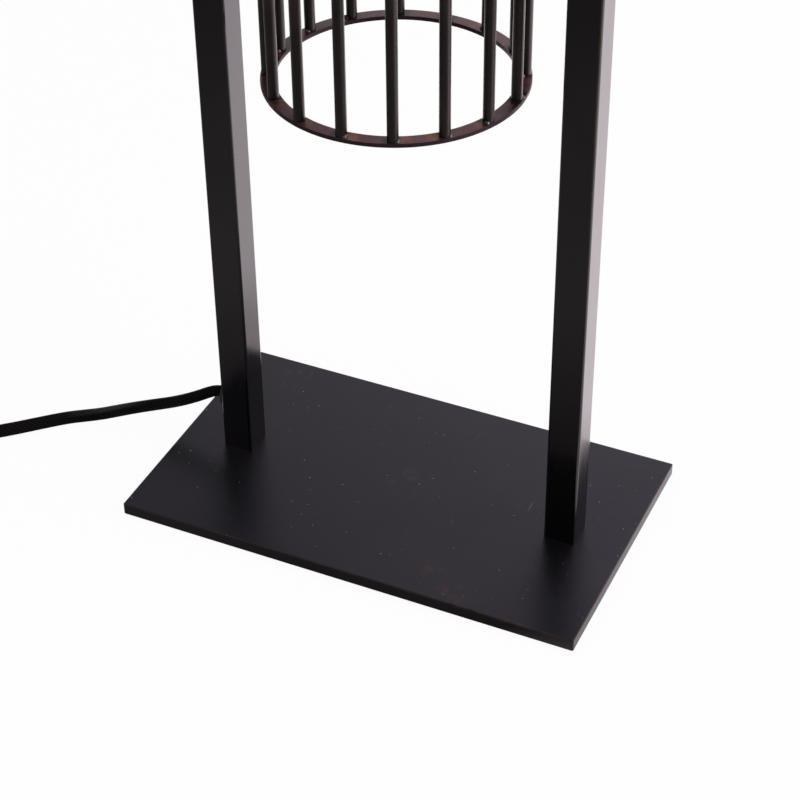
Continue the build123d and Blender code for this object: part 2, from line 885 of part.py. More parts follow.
def plug_body():
    """A flat body that narrows from its face to a waist and on to its back."""
    back, face = plug_x, plug_x - plug_length
    head, waist = face + plug_head_length, face + plug_grip_share * plug_length
    outline = [(face, plug_width), (head, plug_width), (waist, plug_grip_width), (back, plug_back_width)]
    points = [(x, width / 2) for x, width in outline]
    points += [(x, -width / 2) for x, width in reversed(outline)]
    body = extrude(make_face(Polyline(*points, close=True)), plug_thickness)
    body = fillet(body.edges().filter_by(Axis.Z, reverse=True).group_by(Axis.X)[1:], plug_fillet)
    body = Pos(0, coil_exit_y, plug_axis - plug_thickness / 2) * body
    for y in plug_pin_places():
        root = plug_pin_neck_diameter + 2 * plug_sleeve_gap
        body -= rod_along_x(root, face - overrun, face + plug_pin_root + seat_gap, y, plug_axis)
    return body


def plug_pin_places():
    return [coil_exit_y + side * plug_pin_spacing / 2 for side in (-1, 1)]


def plug_pins():
    face = plug_x - plug_length
    pins = []
    for y in plug_pin_places():
        shoulder = face - plug_sleeve_length
        neck = rod_along_x(plug_pin_neck_diameter, face + plug_pin_root, shoulder, y, plug_axis)
        tip = rod_along_x(plug_pin_diameter, shoulder, face - plug_pin_length, y, plug_axis)
        tip = fillet(tip.edges().filter_by(GeomType.CIRCLE).sort_by(Axis.X)[0], plug_pin_tip_fillet)
        pins.append(neck + tip)
    return group(*pins)


def plug_pin_sleeves():
    face = plug_x - plug_length
    bore = plug_pin_neck_diameter + 2 * plug_sleeve_gap
    return group(
        *[
            rod_along_x(plug_pin_diameter, face, face - plug_sleeve_length, y, plug_axis)
            - rod_along_x(bore, face + overrun, face - plug_sleeve_length - overrun, y, plug_axis)
            for y in plug_pin_places()
        ]
    )


def plug_relief():
    """A tapered sleeve round the cord's end, with grooves across it that let it bend."""
    root, tip = relief_root_diameter / 2, relief_tip_diameter / 2
    bore = cord_radius + cord_gap
    bore_end = relief_length - relief_cord_depth
    outline = [(0, 0), (root, 0)]
    pitch = relief_length / (relief_groove_count + 1)
    for number in range(1, relief_groove_count + 1):
        for side in (-1, 1):
            place = number * pitch + side * relief_groove_width / 2
            radius = root + (tip - root) * place / relief_length
            edge = [(radius, place), (radius - relief_groove_depth, place)]
            outline += edge if side < 0 else reversed(edge)
    outline += [(tip, relief_length), (bore, relief_length), (bore, bore_end), (0, bore_end)]
    return Plane(origin=(plug_x, coil_exit_y, plug_axis), z_dir=(1, 0, 0)) * turned(outline)


parts = {
    "base_plate": base_plate(),
    "base_pads": base_pads(),
    "foot_screws": foot_screws(),
    "left_foot_plug": foot_plug(-1),
    "right_foot_plug": foot_plug(1),
    "left_post": post(-1),
    "right_post": post(1),
    "top_bar": top_bar(),
    "cable_bushing": cable_bushing(),
    "cage_bottom_ring": cage_ring(ring_bottom),
    "cage_top_ring": cage_ring(rod_head),
    "cage_spider": cage_spider(),
    "hanger_bush": hanger_bush(),
    "hanger_nipple": hanger_nipple(),
    "hanger_sleeve": hanger_sleeve(),
    "hanger_washers": hanger_washers(),
    "hanger_nut": hanger_nut(),
    "holder_cap": holder_cap(),
    "holder_skirt": holder_skirt(),
    "holder_insert": holder_insert(),
    "holder_contacts": holder_contacts(),
    "holder_screws": holder_screws(),
    "bulb_glass": bulb_glass(),
    "bulb_cap": bulb_cap(),
    "bulb_insulator": bulb_insulator(),
    "bulb_contact": bulb_contact(),
    "bulb_stem": bulb_stem(),
    "bulb_filaments": bulb_filaments(),
    "inner_lead": inner_lead(),
    "conductors": group(conductor(-1), conductor(1)),
    "cord_lead": free_cord("lead", lead_route),
    "cord_link": free_cord("link", link_route),
    "cord_coil": cord_coil(),
    "cord_tail": free_cord("tail", tail_route),
    "coil_tie": coil_tie(),
    "switch_base": switch_base(),
    "switch_cover": switch_cover(),
    "switch_rocker": switch_rocker(),
    "switch_contacts": switch_contacts(),
    "switch_screws": switch_screws(),
    "plug_body": plug_body(),
    "plug_pins": plug_pins(),
    "plug_pin_sleeves": plug_pin_sleeves(),
    "plug_relief": plug_relief(),
}
for number in range(rod_count):
    parts[f"cage_rod_{number + 1:02d}"] = cage_rod(number)

os.makedirs("parts", exist_ok=True)
for name, solid in parts.items():
    export_step(solid, f"parts/{name}.step")
print(len(parts), "nodes")
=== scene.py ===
"""The looks of a table lamp: a blackened steel portal on a flat plate, a round cage of rods
that hangs from its bar round a bulb, and a braided lead with a switch, a coil and a plug.

Everything is in metres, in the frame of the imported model: Z up, the origin on the table under
the middle of the plate, the plate along X, and the front towards -Y.
"""

import logging
import math
import random
from collections.abc import Iterable, Sequence
from dataclasses import dataclass, field
from enum import Enum
from typing import ClassVar

import bpy
from bpy.types import ID, Material, Node, NodeSocket, NodeTree, Object
from mathutils import Matrix, Vector


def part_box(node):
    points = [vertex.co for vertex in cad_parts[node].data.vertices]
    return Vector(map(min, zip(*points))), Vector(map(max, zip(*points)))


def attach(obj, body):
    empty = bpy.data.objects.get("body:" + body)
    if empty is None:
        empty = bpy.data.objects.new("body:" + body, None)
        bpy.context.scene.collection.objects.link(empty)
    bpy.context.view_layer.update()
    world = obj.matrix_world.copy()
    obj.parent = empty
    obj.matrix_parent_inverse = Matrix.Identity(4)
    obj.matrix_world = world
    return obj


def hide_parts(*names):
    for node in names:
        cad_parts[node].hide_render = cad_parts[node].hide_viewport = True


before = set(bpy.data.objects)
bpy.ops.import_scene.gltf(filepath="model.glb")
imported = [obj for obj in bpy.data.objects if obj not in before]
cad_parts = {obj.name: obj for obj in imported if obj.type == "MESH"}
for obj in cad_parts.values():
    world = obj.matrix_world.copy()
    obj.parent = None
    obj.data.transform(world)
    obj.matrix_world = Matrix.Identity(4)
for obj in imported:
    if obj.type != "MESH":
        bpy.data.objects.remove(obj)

LOG = logging.getLogger("table_lamp")
MM = 0.001
MERGE_WITHIN = 0.002 * MM
FLAT_WITHIN = math.radians(0.5)
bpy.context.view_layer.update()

Place = tuple[float, float, float]
Colour = tuple[float, float, float]
Pair = tuple[float, float]


class Body(Enum):
    """The rigid bodies that the pieces ride on."""

    LAMP = "lamp"
    BULB = "bulb"
    ROCKER = "rocker"


# The bench: pieces are started, shaped and finished here


def deselect() -> None:
    """Leaves edit mode and selects nothing."""
    if bpy.context.object is not None and bpy.context.object.mode != "OBJECT":
        bpy.ops.object.mode_set(mode="OBJECT")
    bpy.ops.object.select_all(action="DESELECT")


def node_centre(node: str) -> Vector:
    """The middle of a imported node's box."""
    low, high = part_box(node)
    return (low + high) / 2


def add_object(name: str, data: ID) -> Object:
    """Puts an object that shows some data into the scene."""
    made = bpy.data.objects.new(name, data)
    bpy.context.scene.collection.objects.link(made)
    return made


def lay_spline(name: str, points: Sequence[Place], resolution: int) -> Object:
    """Lays one smooth open line.

    Args:
        name: The curve's name.
        points: The points that steer the line. It starts and ends on the outer two.
        resolution: How many stretches it has from point to point.

    Returns:
        The curve.
    """
    data = bpy.data.curves.new(name, "CURVE")
    data.dimensions = "3D"
    data.resolution_u = resolution
    spline = data.splines.new("NURBS")
    spline.points.add(len(points) - 1)
    for point, place in zip(spline.points, points):
        point.co = (*place, 1.0)
    spline.order_u = 3
    spline.use_endpoint_u = True
    return add_object(name, data)


def turns(count: int, first: float = 0.0) -> list[Matrix]:
    """Even turns about the upright axis, from a first angle in degrees."""
    return [Matrix.Rotation(math.radians(first) + math.tau * n / count, 4, "Z") for n in range(count)]


class Workpiece:
    """One mesh on the bench, with the operations that shape it by hand."""

    def __init__(self, piece: Object, name: str) -> None:
        """Takes an object and gives it and its mesh a name."""
        self.piece = piece
        piece.name = name
        piece.data.name = name

    @classmethod
    def ball(cls, name: str, size: Place, rings: int) -> "Workpiece":
        """Starts from a sphere about the origin that is scaled to a size."""
        deselect()
        bpy.ops.mesh.primitive_uv_sphere_add(
            segments=2 * rings, ring_count=rings, radius=0.5, location=(0, 0, 0), scale=size
        )
        bpy.ops.object.transform_apply(location=True, rotation=True, scale=True)
        return cls(bpy.context.object, name)

    @classmethod
    def from_node(cls, name: str, node: str) -> "Workpiece":
        """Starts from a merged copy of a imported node, with its flat faces made whole.

        Args:
            name: The piece's name.
            node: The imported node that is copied. It isn't changed.

        Returns:
            The new workpiece.
        """
        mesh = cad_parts[node].data.copy()
        mesh.materials.clear()
        work = cls(add_object(name, mesh), name).take()
        bpy.ops.mesh.customdata_custom_splitnormals_clear()
        work.edit()
        bpy.ops.mesh.remove_doubles(threshold=MERGE_WITHIN)
        bpy.ops.mesh.dissolve_limited(angle_limit=FLAT_WITHIN)
        deselect()
        return work

    @classmethod
    def wire(cls, name: str, points: Sequence[Place], radius: float) -> "Workpiece":
        """Bends a round wire along a smooth line.

        Args:
            name: The piece's name.
            points: The points that steer the line. It starts and ends on the outer two.
            radius: The wire's radius.

        Returns:
            The new workpiece.
        """
        work = cls(lay_spline(name, points, resolution=8), name).take()
        work.piece.data.bevel_depth = radius
        work.piece.data.bevel_resolution = 3
        work.piece.data.use_fill_caps = True
        bpy.ops.object.convert(target="MESH")
        work = cls(bpy.context.object, name)
        work.edit()
        bpy.ops.mesh.remove_doubles(threshold=MERGE_WITHIN)
        bpy.ops.mesh.normals_make_consistent(inside=False)
        deselect()
        return work

    def take(self) -> "Workpiece":
        """Makes this the only selected piece."""
        deselect()
        self.piece.select_set(True)
        bpy.context.view_layer.objects.active = self.piece
        return self

    def edit(self) -> None:
        """Enters edit mode, with all of this piece selected."""
        self.take()
        bpy.ops.object.mode_set(mode="EDIT")
        bpy.ops.mesh.select_all(action="SELECT")

    def modify(self, kind: str, **settings: object) -> "Workpiece":
        """Applies a modifier with its settings."""
        self.take()
        bpy.ops.object.modifier_add(type=kind)
        modifier = self.piece.modifiers[-1]
        for key, value in settings.items():
            setattr(modifier, key, value)
        bpy.ops.object.modifier_apply(modifier=modifier.name)
        return self

    def bevel(self, width: float, segments: int, angle: float) -> "Workpiece":
        """Rounds the edges that are sharper than an angle, in degrees."""
        return self.modify(
            "BEVEL", width=width, segments=segments, limit_method="ANGLE",
            angle_limit=math.radians(angle), use_clamp_overlap=True, harden_normals=False,
        )

    def smooth(self, angle: float = 38) -> "Workpiece":
        """Shades the piece smooth across edges under an angle, in degrees."""
        self.take()
        bpy.ops.object.shade_smooth_by_angle(angle=math.radians(angle))
        return self

    def weigh_normals(self) -> "Workpiece":
        """Lets large faces set the shading, so that they stay flat beside their rounded edges."""
        return self.modify("WEIGHTED_NORMAL", mode="FACE_AREA", weight=100, keep_sharp=True)

    def copies(self, places: Iterable[Matrix]) -> "Workpiece":
        """Copies the piece to each place and joins the copies into it.

        Args:
            places: The matrix of each copy. The piece itself is left out.

        Returns:
            The joined workpiece.
        """
        name, mesh = self.piece.name, self.piece.data
        made = []
        for number, matrix in enumerate(places):
            copy = add_object(f"{name}_{number}", mesh.copy())
            copy.data.transform(matrix)
            made.append(copy)
        bpy.data.objects.remove(self.piece)
        return Workpiece.joined(name, made)

    @classmethod
    def joined(cls, name: str, pieces: Sequence[Object]) -> "Workpiece":
        """Joins several objects into one piece."""
        deselect()
        for piece in pieces:
            piece.select_set(True)
        bpy.context.view_layer.objects.active = pieces[0]
        bpy.ops.object.join()
        return cls(bpy.context.object, name)

    def finish(self, finish: "Finish", body: Body, slot: str, *nodes: str) -> Object:
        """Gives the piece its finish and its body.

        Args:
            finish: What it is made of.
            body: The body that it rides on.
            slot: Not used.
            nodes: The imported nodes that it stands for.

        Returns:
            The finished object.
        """
        deselect()
        piece = self.piece
        piece.data.materials.clear()
        piece.data.materials.append(finish.material())
        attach(piece, body.value)
        if nodes:
            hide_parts(*nodes)
        LOG.info("%s made, %d faces, for %s", piece.name, len(piece.data.polygons), nodes or "detail")
        return piece


def dress(finish: "Finish", *nodes: str) -> None:
    """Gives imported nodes, whose shape is kept, a finish."""
    for node in nodes:
        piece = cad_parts[node]
        piece.data.materials.clear()
        piece.data.materials.append(finish.material())
        LOG.info("%s kept, in %s", node, finish.name)


@dataclass(frozen=True)
class Rounded:
    """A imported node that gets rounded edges."""

    node: str
    finish: "Finish"
    slot: str
    width: float
    body: Body = Body.LAMP
    segments: int = 2
    angle: float = 35

    def build(self) -> Object:
        """Makes a copy of the node with rounded edges, and lets it stand for the node.

        Returns:
            The finished object.
        """
        work = Workpiece.from_node(f"{self.node}_rounded", self.node)
        work.bevel(self.width, self.segments, self.angle).smooth().weigh_normals()
        return work.finish(self.finish, self.body, self.slot, self.node)


# Finishes: each lays out its own nodes, on object coordinates in metres


class Board:
    """A node tree, with the kinds of node that the finishes and the studio are made of."""

    def __init__(self, tree: NodeTree) -> None:
        """Empties the tree."""
        self.nodes, self.links = tree.nodes, tree.links
        self.nodes.clear()

    def node(
        self, kind: str, inputs: dict[str | int, object] | None = None, **settings: object
    ) -> Node:
        """Adds a node, sets it up and links or fills its inputs."""
        made = self.nodes.new(kind)
        for key, value in settings.items():
            setattr(made, key, value)
        self.fill(made, inputs or {})
        return made

    def fill(self, node: Node, inputs: dict[str | int, object]) -> None:
        """Links or sets a node's inputs, apart from those that are given as None."""
        for key, value in inputs.items():
            if isinstance(value, NodeSocket):
                self.links.new(value, node.inputs[key])
            elif value is not None:
                node.inputs[key].default_value = value

    def maths(
        self, kind: str, first: NodeSocket | float, second: NodeSocket | float = 0.0
    ) -> NodeSocket:
        """One step of arithmetic."""
        return self.node("ShaderNodeMath", {0: first, 1: second}, operation=kind).outputs[0]

    def times(self, *factors: NodeSocket | float) -> NodeSocket | float:
        """The product of several values."""
        product = factors[0]
        for factor in factors[1:]:
            product = self.maths("MULTIPLY", product, factor)
        return product

    def fit(
        self, source: NodeSocket, low: float, high: float, to_low: float = 0, to_high: float = 1,
        kind: str = "LINEAR",
    ) -> NodeSocket:
        """Maps a range of values to another, and clamps it."""
        inputs = {"Value": source, "From Min": low, "From Max": high, "To Min": to_low, "To Max": to_high}
        return self.node("ShaderNodeMapRange", inputs, interpolation_type=kind).outputs["Result"]

    def ease(self, source: NodeSocket, *ranges: float) -> NodeSocket:
        """Maps a range of values to another, with soft ends."""
        return self.fit(source, *ranges, kind="SMOOTHSTEP")


class Bench(Board):
    """The nodes of one finish, laid out from its shader."""

    def __init__(self, name: str) -> None:
        """Starts a material."""
        material = bpy.data.materials.new(name)
        material.use_nodes = True
        super().__init__(material.node_tree)
        self.shader = self.node("ShaderNodeBsdfPrincipled")
        self.node("ShaderNodeOutputMaterial", {"Surface": self.shader.outputs["BSDF"]})

    def shade(self, **values: NodeSocket | float | tuple[float, ...]) -> None:
        """Links or sets the shader's sockets, named with underscores for spaces."""
        self.fill(self.shader, {socket.replace("_", " "): value for socket, value in values.items()})

    def coordinates(self, stretch: Place = (1, 1, 1), turn: Place = (0, 0, 0)) -> NodeSocket:
        """Object coordinates, stretched and turned."""
        source = self.node("ShaderNodeTexCoord").outputs["Object"]
        mapping = self.node("ShaderNodeMapping", {"Vector": source, "Scale": stretch, "Rotation": turn})
        return mapping.outputs["Vector"]

    def axes(self, vector: NodeSocket) -> tuple[NodeSocket, NodeSocket, NodeSocket]:
        """A vector's X, Y and Z."""
        return tuple(self.node("ShaderNodeSeparateXYZ", {"Vector": vector}).outputs)

    def normal(self) -> tuple[NodeSocket, NodeSocket, NodeSocket]:
        """The X, Y and Z of the direction that the surface faces."""
        return self.axes(self.node("ShaderNodeTexCoord").outputs["Normal"])

    def noise(
        self, scale: float, detail: float = 4, rough: float = 0.55, warp: float = 0,
        stretch: Place = (1, 1, 1), turn: Place = (0, 0, 0),
    ) -> NodeSocket:
        """Noise of a scale per metre.

        Args:
            scale: Features per metre.
            detail: How many octaves it has.
            rough: How strong the finer octaves are.
            warp: How much it is distorted.
            stretch: The pattern's scale along each axis.
            turn: The pattern's turn about each axis.

        Returns:
            Its value, about 0.5.
        """
        inputs = {
            "Vector": self.coordinates(stretch, turn), "Scale": scale, "Detail": detail,
            "Roughness": rough, "Distortion": warp,
        }
        return self.node("ShaderNodeTexNoise", inputs).outputs["Fac"]

    def cells(self, scale: float) -> Node:
        """A flat Voronoi node, seen from above, of a scale per metre."""
        inputs = {"Vector": self.coordinates(), "Scale": scale}
        return self.node("ShaderNodeTexVoronoi", inputs, voronoi_dimensions="2D")

    def mix(
        self, share: NodeSocket | float, first: NodeSocket | Colour, second: NodeSocket | Colour
    ) -> NodeSocket:
        """A mix of two colours."""
        ends = [end if isinstance(end, NodeSocket) else (*end, 1.0) for end in (first, second)]
        return self.node("ShaderNodeMix", {0: share, 6: ends[0], 7: ends[1]}, data_type="RGBA").outputs[2]

    def relief(self, *layers: tuple[NodeSocket, float]) -> None:
        """Bumps the surface.

        Args:
            layers: The height of each layer, from 0 to 1, and how high 1 stands, in metres.
        """
        normal = None
        for height, distance in layers:
            inputs = {"Height": height, "Distance": distance, "Strength": 1.0, "Normal": normal}
            normal = self.node("ShaderNodeBump", inputs).outputs["Normal"]
        self.shade(Normal=normal)

    def facing_up(self, low: float = 0.75, high: float = 0.95) -> NodeSocket:
        """1 where the surface faces up, else 0."""
        return self.fit(self.normal()[2], low, high)

    def near(self, place: Place, inner: float, outer: float) -> NodeSocket:
        """1 within the inner distance of a place, and 0 beyond the outer one."""
        ends = {0: self.coordinates(), 1: place}
        far = self.node("ShaderNodeVectorMath", ends, operation="DISTANCE").outputs["Value"]
        return self.ease(far, inner, outer, 1, 0)

    def on_corner(self) -> NodeSocket:
        """1 in the middle of a square piece's rounded edges, and 0 on its flat sides."""
        x, y, z = (self.maths("ABSOLUTE", part) for part in self.normal())
        return self.fit(self.maths("MAXIMUM", x, self.maths("MAXIMUM", y, z)), 0.985, 0.80)


@dataclass(frozen=True)
class Finish:
    """What a piece is made of. The material is laid out once and shared."""

    name: str

    def material(self) -> Material:
        """The finish's material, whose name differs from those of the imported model."""
        title = f"{self.name}_finish"
        if title not in bpy.data.materials:
            self.lay_out(Bench(title))
        return bpy.data.materials[title]

    def lay_out(self, bench: Bench) -> None:
        """Lays out the nodes of the material."""
        raise NotImplementedError(self.name)


@dataclass(frozen=True)
class BlackenedSteel(Finish):
    """Steel blackened in a bath and waxed: cloudy, faintly brown where it is rubbed, with a painted
    highlight on the rubbed edges.
    """

    colour: Colour = (0.0010, 0.0009, 0.0010)
    brown: Colour = (0.012, 0.008, 0.006)
    brown_share: float = 0.30
    roughness: Pair = (0.17, 0.26)
    specular: float = 0.5
    tint: Colour = (1.0, 0.94, 1.0)
    painted_reflection_tint_above: Colour = (0.82, 0.73, 1.0)
    drawn_along: Place = (1, 1, 1)
    edge_wear_and_highlight: Colour = (0.070, 0.055, 0.034)
    edge_wear_and_highlight_share: float = 0.0
    edge_highlight_above: Pair = (60 * MM, 210 * MM)
    edge_highlight_right: Pair = (-20 * MM, 20 * MM)

    def lay_out(self, bench: Bench) -> None:
        """Clouds and streaks for the colour and the gloss, and fine grain."""
        clouds = bench.noise(11, 5, rough=0.6, warp=0.6)
        blotches = bench.noise(34, 4, rough=0.6, warp=0.3)
        streaks = bench.noise(420, 3, rough=0.6, stretch=self.drawn_along)
        grain = bench.noise(2600, 2, rough=0.6)
        browned = bench.times(bench.ease(clouds, 0.46, 0.74), self.brown_share)
        gloss = bench.maths("ADD", bench.times(blotches, 0.6), bench.times(streaks, 0.4))
        rough = bench.fit(gloss, 0.36, 0.64, *self.roughness)
        colour, rough = self.wear_and_highlight(bench, bench.mix(browned, self.colour, self.brown), rough)
        # painted reflection: faces turned up get a bluer specular tint than the sides
        tint = bench.mix(bench.facing_up(), self.tint, self.painted_reflection_tint_above)
        bench.shade(
            Base_Color=colour, Roughness=rough, Specular_Tint=tint, IOR=1.5,
            Specular_IOR_Level=self.specular,
        )
        bench.relief((grain, 0.008 * MM), (streaks, 0.008 * MM), (blotches, 0.04 * MM))

    def wear_and_highlight(self, bench: Bench, colour: NodeSocket, rough: NodeSocket) -> tuple[NodeSocket, NodeSocket]:
        """Edges that are rubbed to brown, with a painted highlight: most of all above and to the right,
        where the light falls.

        Args:
            bench: The bench that the finish is laid out on.
            colour: The colour so far.
            rough: The roughness so far.

        Returns:
            The worn colour and roughness.
        """
        if self.edge_wear_and_highlight_share == 0:
            return colour, rough
        patchy = bench.fit(bench.noise(26, 4, rough=0.65), 0.34, 0.62, 0.35, 1.0)
        x, _, z = bench.axes(bench.coordinates())
        # painted highlight: the brown on the edges grows upwards and to the right, where the light falls
        above = bench.fit(z, *self.edge_highlight_above, 0.1, 1.0)
        right = bench.fit(x, *self.edge_highlight_right, 0.3, 1.0)
        share = bench.times(bench.on_corner(), patchy, above, right, self.edge_wear_and_highlight_share)
        return bench.mix(share, colour, self.edge_wear_and_highlight), rough


@dataclass(frozen=True)
class PlateSteel(BlackenedSteel):
    """Blackened steel that dust settles on, scuffed on top, rubbed to copper brown at its rim, with a
    painted highlight along the rim that grows to the right.
    """

    dust_share: float = 0.075
    dust_cells: float = 230
    dust_radius: float = 0.056
    dust_colour: Colour = (0.42, 0.41, 0.40)
    copper: Colour = (0.060, 0.030, 0.022)
    stain: Colour = (0.030, 0.013, 0.007)
    stains: tuple[Place, ...] = (
        (4 * MM, 4 * MM, 17 * MM), (55 * MM, -63 * MM, 13 * MM), (40 * MM, -52 * MM, 10 * MM)
    )
    stain_share: float = 0.6
    half_size: Pair = (119 * MM, 70 * MM)
    top: float = 8 * MM
    rim: float = 1.0 * MM
    rim_share: float = 0.8
    rim_right: Pair = (20 * MM, 100 * MM)
    scuff_share: float = 0.09

    def settled(self, bench: Bench) -> NodeSocket:
        """Specks of dust and short scuffs, on top only."""
        specks = bench.cells(self.dust_cells)
        chance = bench.node("ShaderNodeSeparateColor", {"Color": specks.outputs["Color"]}).outputs[0]
        rare = 1 - self.dust_share
        size = bench.fit(chance, rare, 1, 0.3 * self.dust_radius, self.dust_radius)
        inside = bench.maths("LESS_THAN", specks.outputs["Distance"], size)
        chosen = bench.maths("GREATER_THAN", chance, rare)
        speck = bench.times(inside, chosen, bench.fit(chance, rare, 1, 0.35, 0.9))
        hairs = bench.noise(330, 2, rough=0.5, warp=1.6, stretch=(1, 0.10, 1), turn=(0, 0, 0.7))
        patch = bench.fit(bench.noise(23, 2), 0.56, 0.66)
        scuff = bench.times(bench.ease(hairs, 0.67, 0.73, 0, self.scuff_share), patch)
        return bench.times(bench.maths("MAXIMUM", speck, scuff), bench.facing_up())

    def rim_wear_and_highlight(self, bench: Bench) -> NodeSocket:
        """Patches of metal rubbed through along the upper rim, with a painted highlight: more of them to
        the right, where the light falls.
        """
        x, y, z = bench.axes(bench.coordinates())
        near = []
        for axis, half in zip((x, y), self.half_size):
            near.append(bench.fit(bench.maths("ABSOLUTE", axis), half - self.rim, half - 0.2 * self.rim))
        upper = bench.fit(z, self.top - self.rim, self.top - 0.3 * self.rim)
        patchiness = bench.fit(bench.noise(60, 4, rough=0.65, warp=0.4), 0.42, 0.64, 0.15, 1.0)
        # painted highlight: the rim's brown grows to the right, where the light falls
        right = bench.fit(x, *self.rim_right, 0.3, 1.0)
        return bench.times(bench.maths("MAXIMUM", *near), upper, patchiness, right, self.rim_share)

    def stained(self, bench: Bench) -> NodeSocket:
        """Thin brown stains round their places."""
        thin = bench.fit(bench.noise(190, 4, rough=0.65, warp=0.5), 0.47, 0.62, 0, self.stain_share)
        spread: NodeSocket | float = 0.0
        for x, y, radius in self.stains:
            stain = bench.near((x, y, self.top), 0.15 * radius, radius)
            spread = bench.maths("MAXIMUM", spread, stain)
        return bench.times(thin, spread)

    def wear_and_highlight(self, bench: Bench, colour: NodeSocket, rough: NodeSocket) -> tuple[NodeSocket, NodeSocket]:
        """Stains and dust on top, and rubbed-through metal with a painted highlight along the rim."""
        settled = self.settled(bench)
        colour = bench.mix(self.stained(bench), colour, self.stain)
        colour = bench.mix(self.rim_wear_and_highlight(bench), colour, self.copper)
        colour = bench.mix(settled, colour, self.dust_colour)
        return colour, bench.maths("MAXIMUM", rough, bench.times(settled, 0.8))


@dataclass(frozen=True)
class BronzedSteel(Finish):
    """Steel with a plum-brown patina, and a heat mark beside the foot of every rod."""

    colour: Colour = (0.105, 0.038, 0.046)
    dark: Colour = (0.028, 0.014, 0.018)
    bright: Colour = (0.270, 0.095, 0.045)
    roughness: Pair = (0.26, 0.40)
    side_dullness: float = 0.2
    specular: Pair = (0.2, 0.5)
    metallic: float = 0.45
    rods: int = 16
    rod_turn: float = 0.75
    mark_turn: float = 88
    mark_share: float = 0.7
    foot_turn: float = -34
    turned_from: float = 33 * MM
    shaded_side: float = -59 * MM

    def lay_out(self, bench: Bench) -> None:
        """Dark and brown clouds, a darker patch on the same side of every rod's foot, orange heat marks
        beside the feet, and painted shade on the sides.
        """
        clouds = bench.noise(60, 4, rough=0.6, warp=0.8)
        broken = bench.noise(210, 3, rough=0.6, warp=0.6)
        passing = bench.noise(31, 2, rough=0.5)
        grain = bench.noise(1900, 3, rough=0.6)
        above = bench.facing_up()
        x, y, _ = bench.axes(bench.coordinates())
        around = bench.times(bench.maths("ARCTAN2", y, x), float(self.rods))
        around = bench.maths("SUBTRACT", around, math.radians(self.rod_turn) * self.rods)
        left = bench.fit(x, self.turned_from - 1e-5, self.turned_from + 1e-5, 1, -1)
        mark = bench.times(left, math.radians(self.mark_turn))
        heat = bench.maths("COSINE", bench.maths("SUBTRACT", around, mark))
        # a darker patch on the same side of every rod's foot
        foot_patch = bench.maths("COSINE", bench.maths("SUBTRACT", around, math.radians(self.foot_turn)))
        hot = bench.times(
            bench.ease(heat, 0.60, 1.0), bench.fit(broken, 0.36, 0.60),
            bench.fit(passing, 0.38, 0.58, 0.30, 1.0), self.mark_share,
        )
        colour = bench.mix(bench.ease(clouds, 0.34, 0.52), self.dark, self.colour)
        shaded = bench.ease(x, self.shaded_side, 0.25 * self.shaded_side, 0.75, 0)
        colour = bench.mix(shaded, colour, self.dark)
        colour = bench.mix(bench.ease(foot_patch, 0.55, 0.95, 0, 0.85), colour, self.dark)
        colour = bench.mix(hot, colour, self.bright)
        dull = bench.fit(above, 0, 1, self.side_dullness, 0)
        # painted shade: the sides take the dark colour and a weaker reflection, and only faces turned up
        # show the patina
        bench.shade(
            Base_Color=bench.mix(above, self.dark, colour),
            Metallic=self.metallic,
            Roughness=bench.maths("ADD", bench.fit(clouds, 0.35, 0.65, *self.roughness), dull),
            Specular_IOR_Level=bench.fit(above, 0, 1, *self.specular),
        )
        bench.relief((grain, 0.012 * MM), (clouds, 0.08 * MM))


@dataclass(frozen=True)
class BareMetal(Finish):
    """Plated or plain metal with fine working marks."""

    colour: Colour
    roughness: Pair = (0.22, 0.38)
    tarnish: Colour = (0.30, 0.25, 0.18)
    tarnish_share: float = 0.15

    def lay_out(self, bench: Bench) -> None:
        """Working marks in the gloss, and a little tarnish."""
        marks = bench.noise(900, 3, rough=0.6)
        clouds = bench.noise(140, 4, rough=0.6, warp=0.5)
        stain = bench.times(bench.ease(clouds, 0.5, 0.75), self.tarnish_share)
        bench.shade(
            Metallic=1.0,
            Base_Color=bench.mix(stain, self.colour, self.tarnish),
            Roughness=bench.fit(marks, 0.35, 0.65, *self.roughness),
        )
        bench.relief((marks, 0.010 * MM))


@dataclass(frozen=True)
class Moulded(Finish):
    """Moulded plastic, rubber or phenolic, with its mould's grain."""

    colour: Colour
    roughness: Pair = (0.38, 0.50)
    grain: float = 0.015
    scuff: Colour = (0.05, 0.05, 0.05)

    def lay_out(self, bench: Bench) -> None:
        """Grain in the relief, and faint scuffs in the colour and the gloss."""
        grain = bench.noise(1500, 3, rough=0.6)
        clouds = bench.noise(55, 5, rough=0.65, warp=0.6)
        bench.shade(
            Specular_IOR_Level=0.45,
            Base_Color=bench.mix(bench.ease(clouds, 0.56, 0.78, 0, 0.45), self.colour, self.scuff),
            Roughness=bench.fit(clouds, 0.35, 0.7, *self.roughness),
        )
        bench.relief((grain, self.grain * MM))


@dataclass(frozen=True)
class Glazed(Finish):
    """White ceramic under a clear glaze."""

    colour: Colour = (0.80, 0.78, 0.73)
    speckle: Colour = (0.52, 0.47, 0.40)

    def lay_out(self, bench: Bench) -> None:
        """A faint speckle under a smooth glaze."""
        specks = bench.fit(bench.noise(520, 4, rough=0.7), 0.62, 0.72, 0, 0.5)
        colour = bench.mix(specks, self.colour, self.speckle)
        bench.shade(Base_Color=colour, Roughness=0.22, Coat_Weight=0.6, Coat_Roughness=0.06)
        bench.relief((bench.noise(60, 3, rough=0.5), 0.06 * MM))


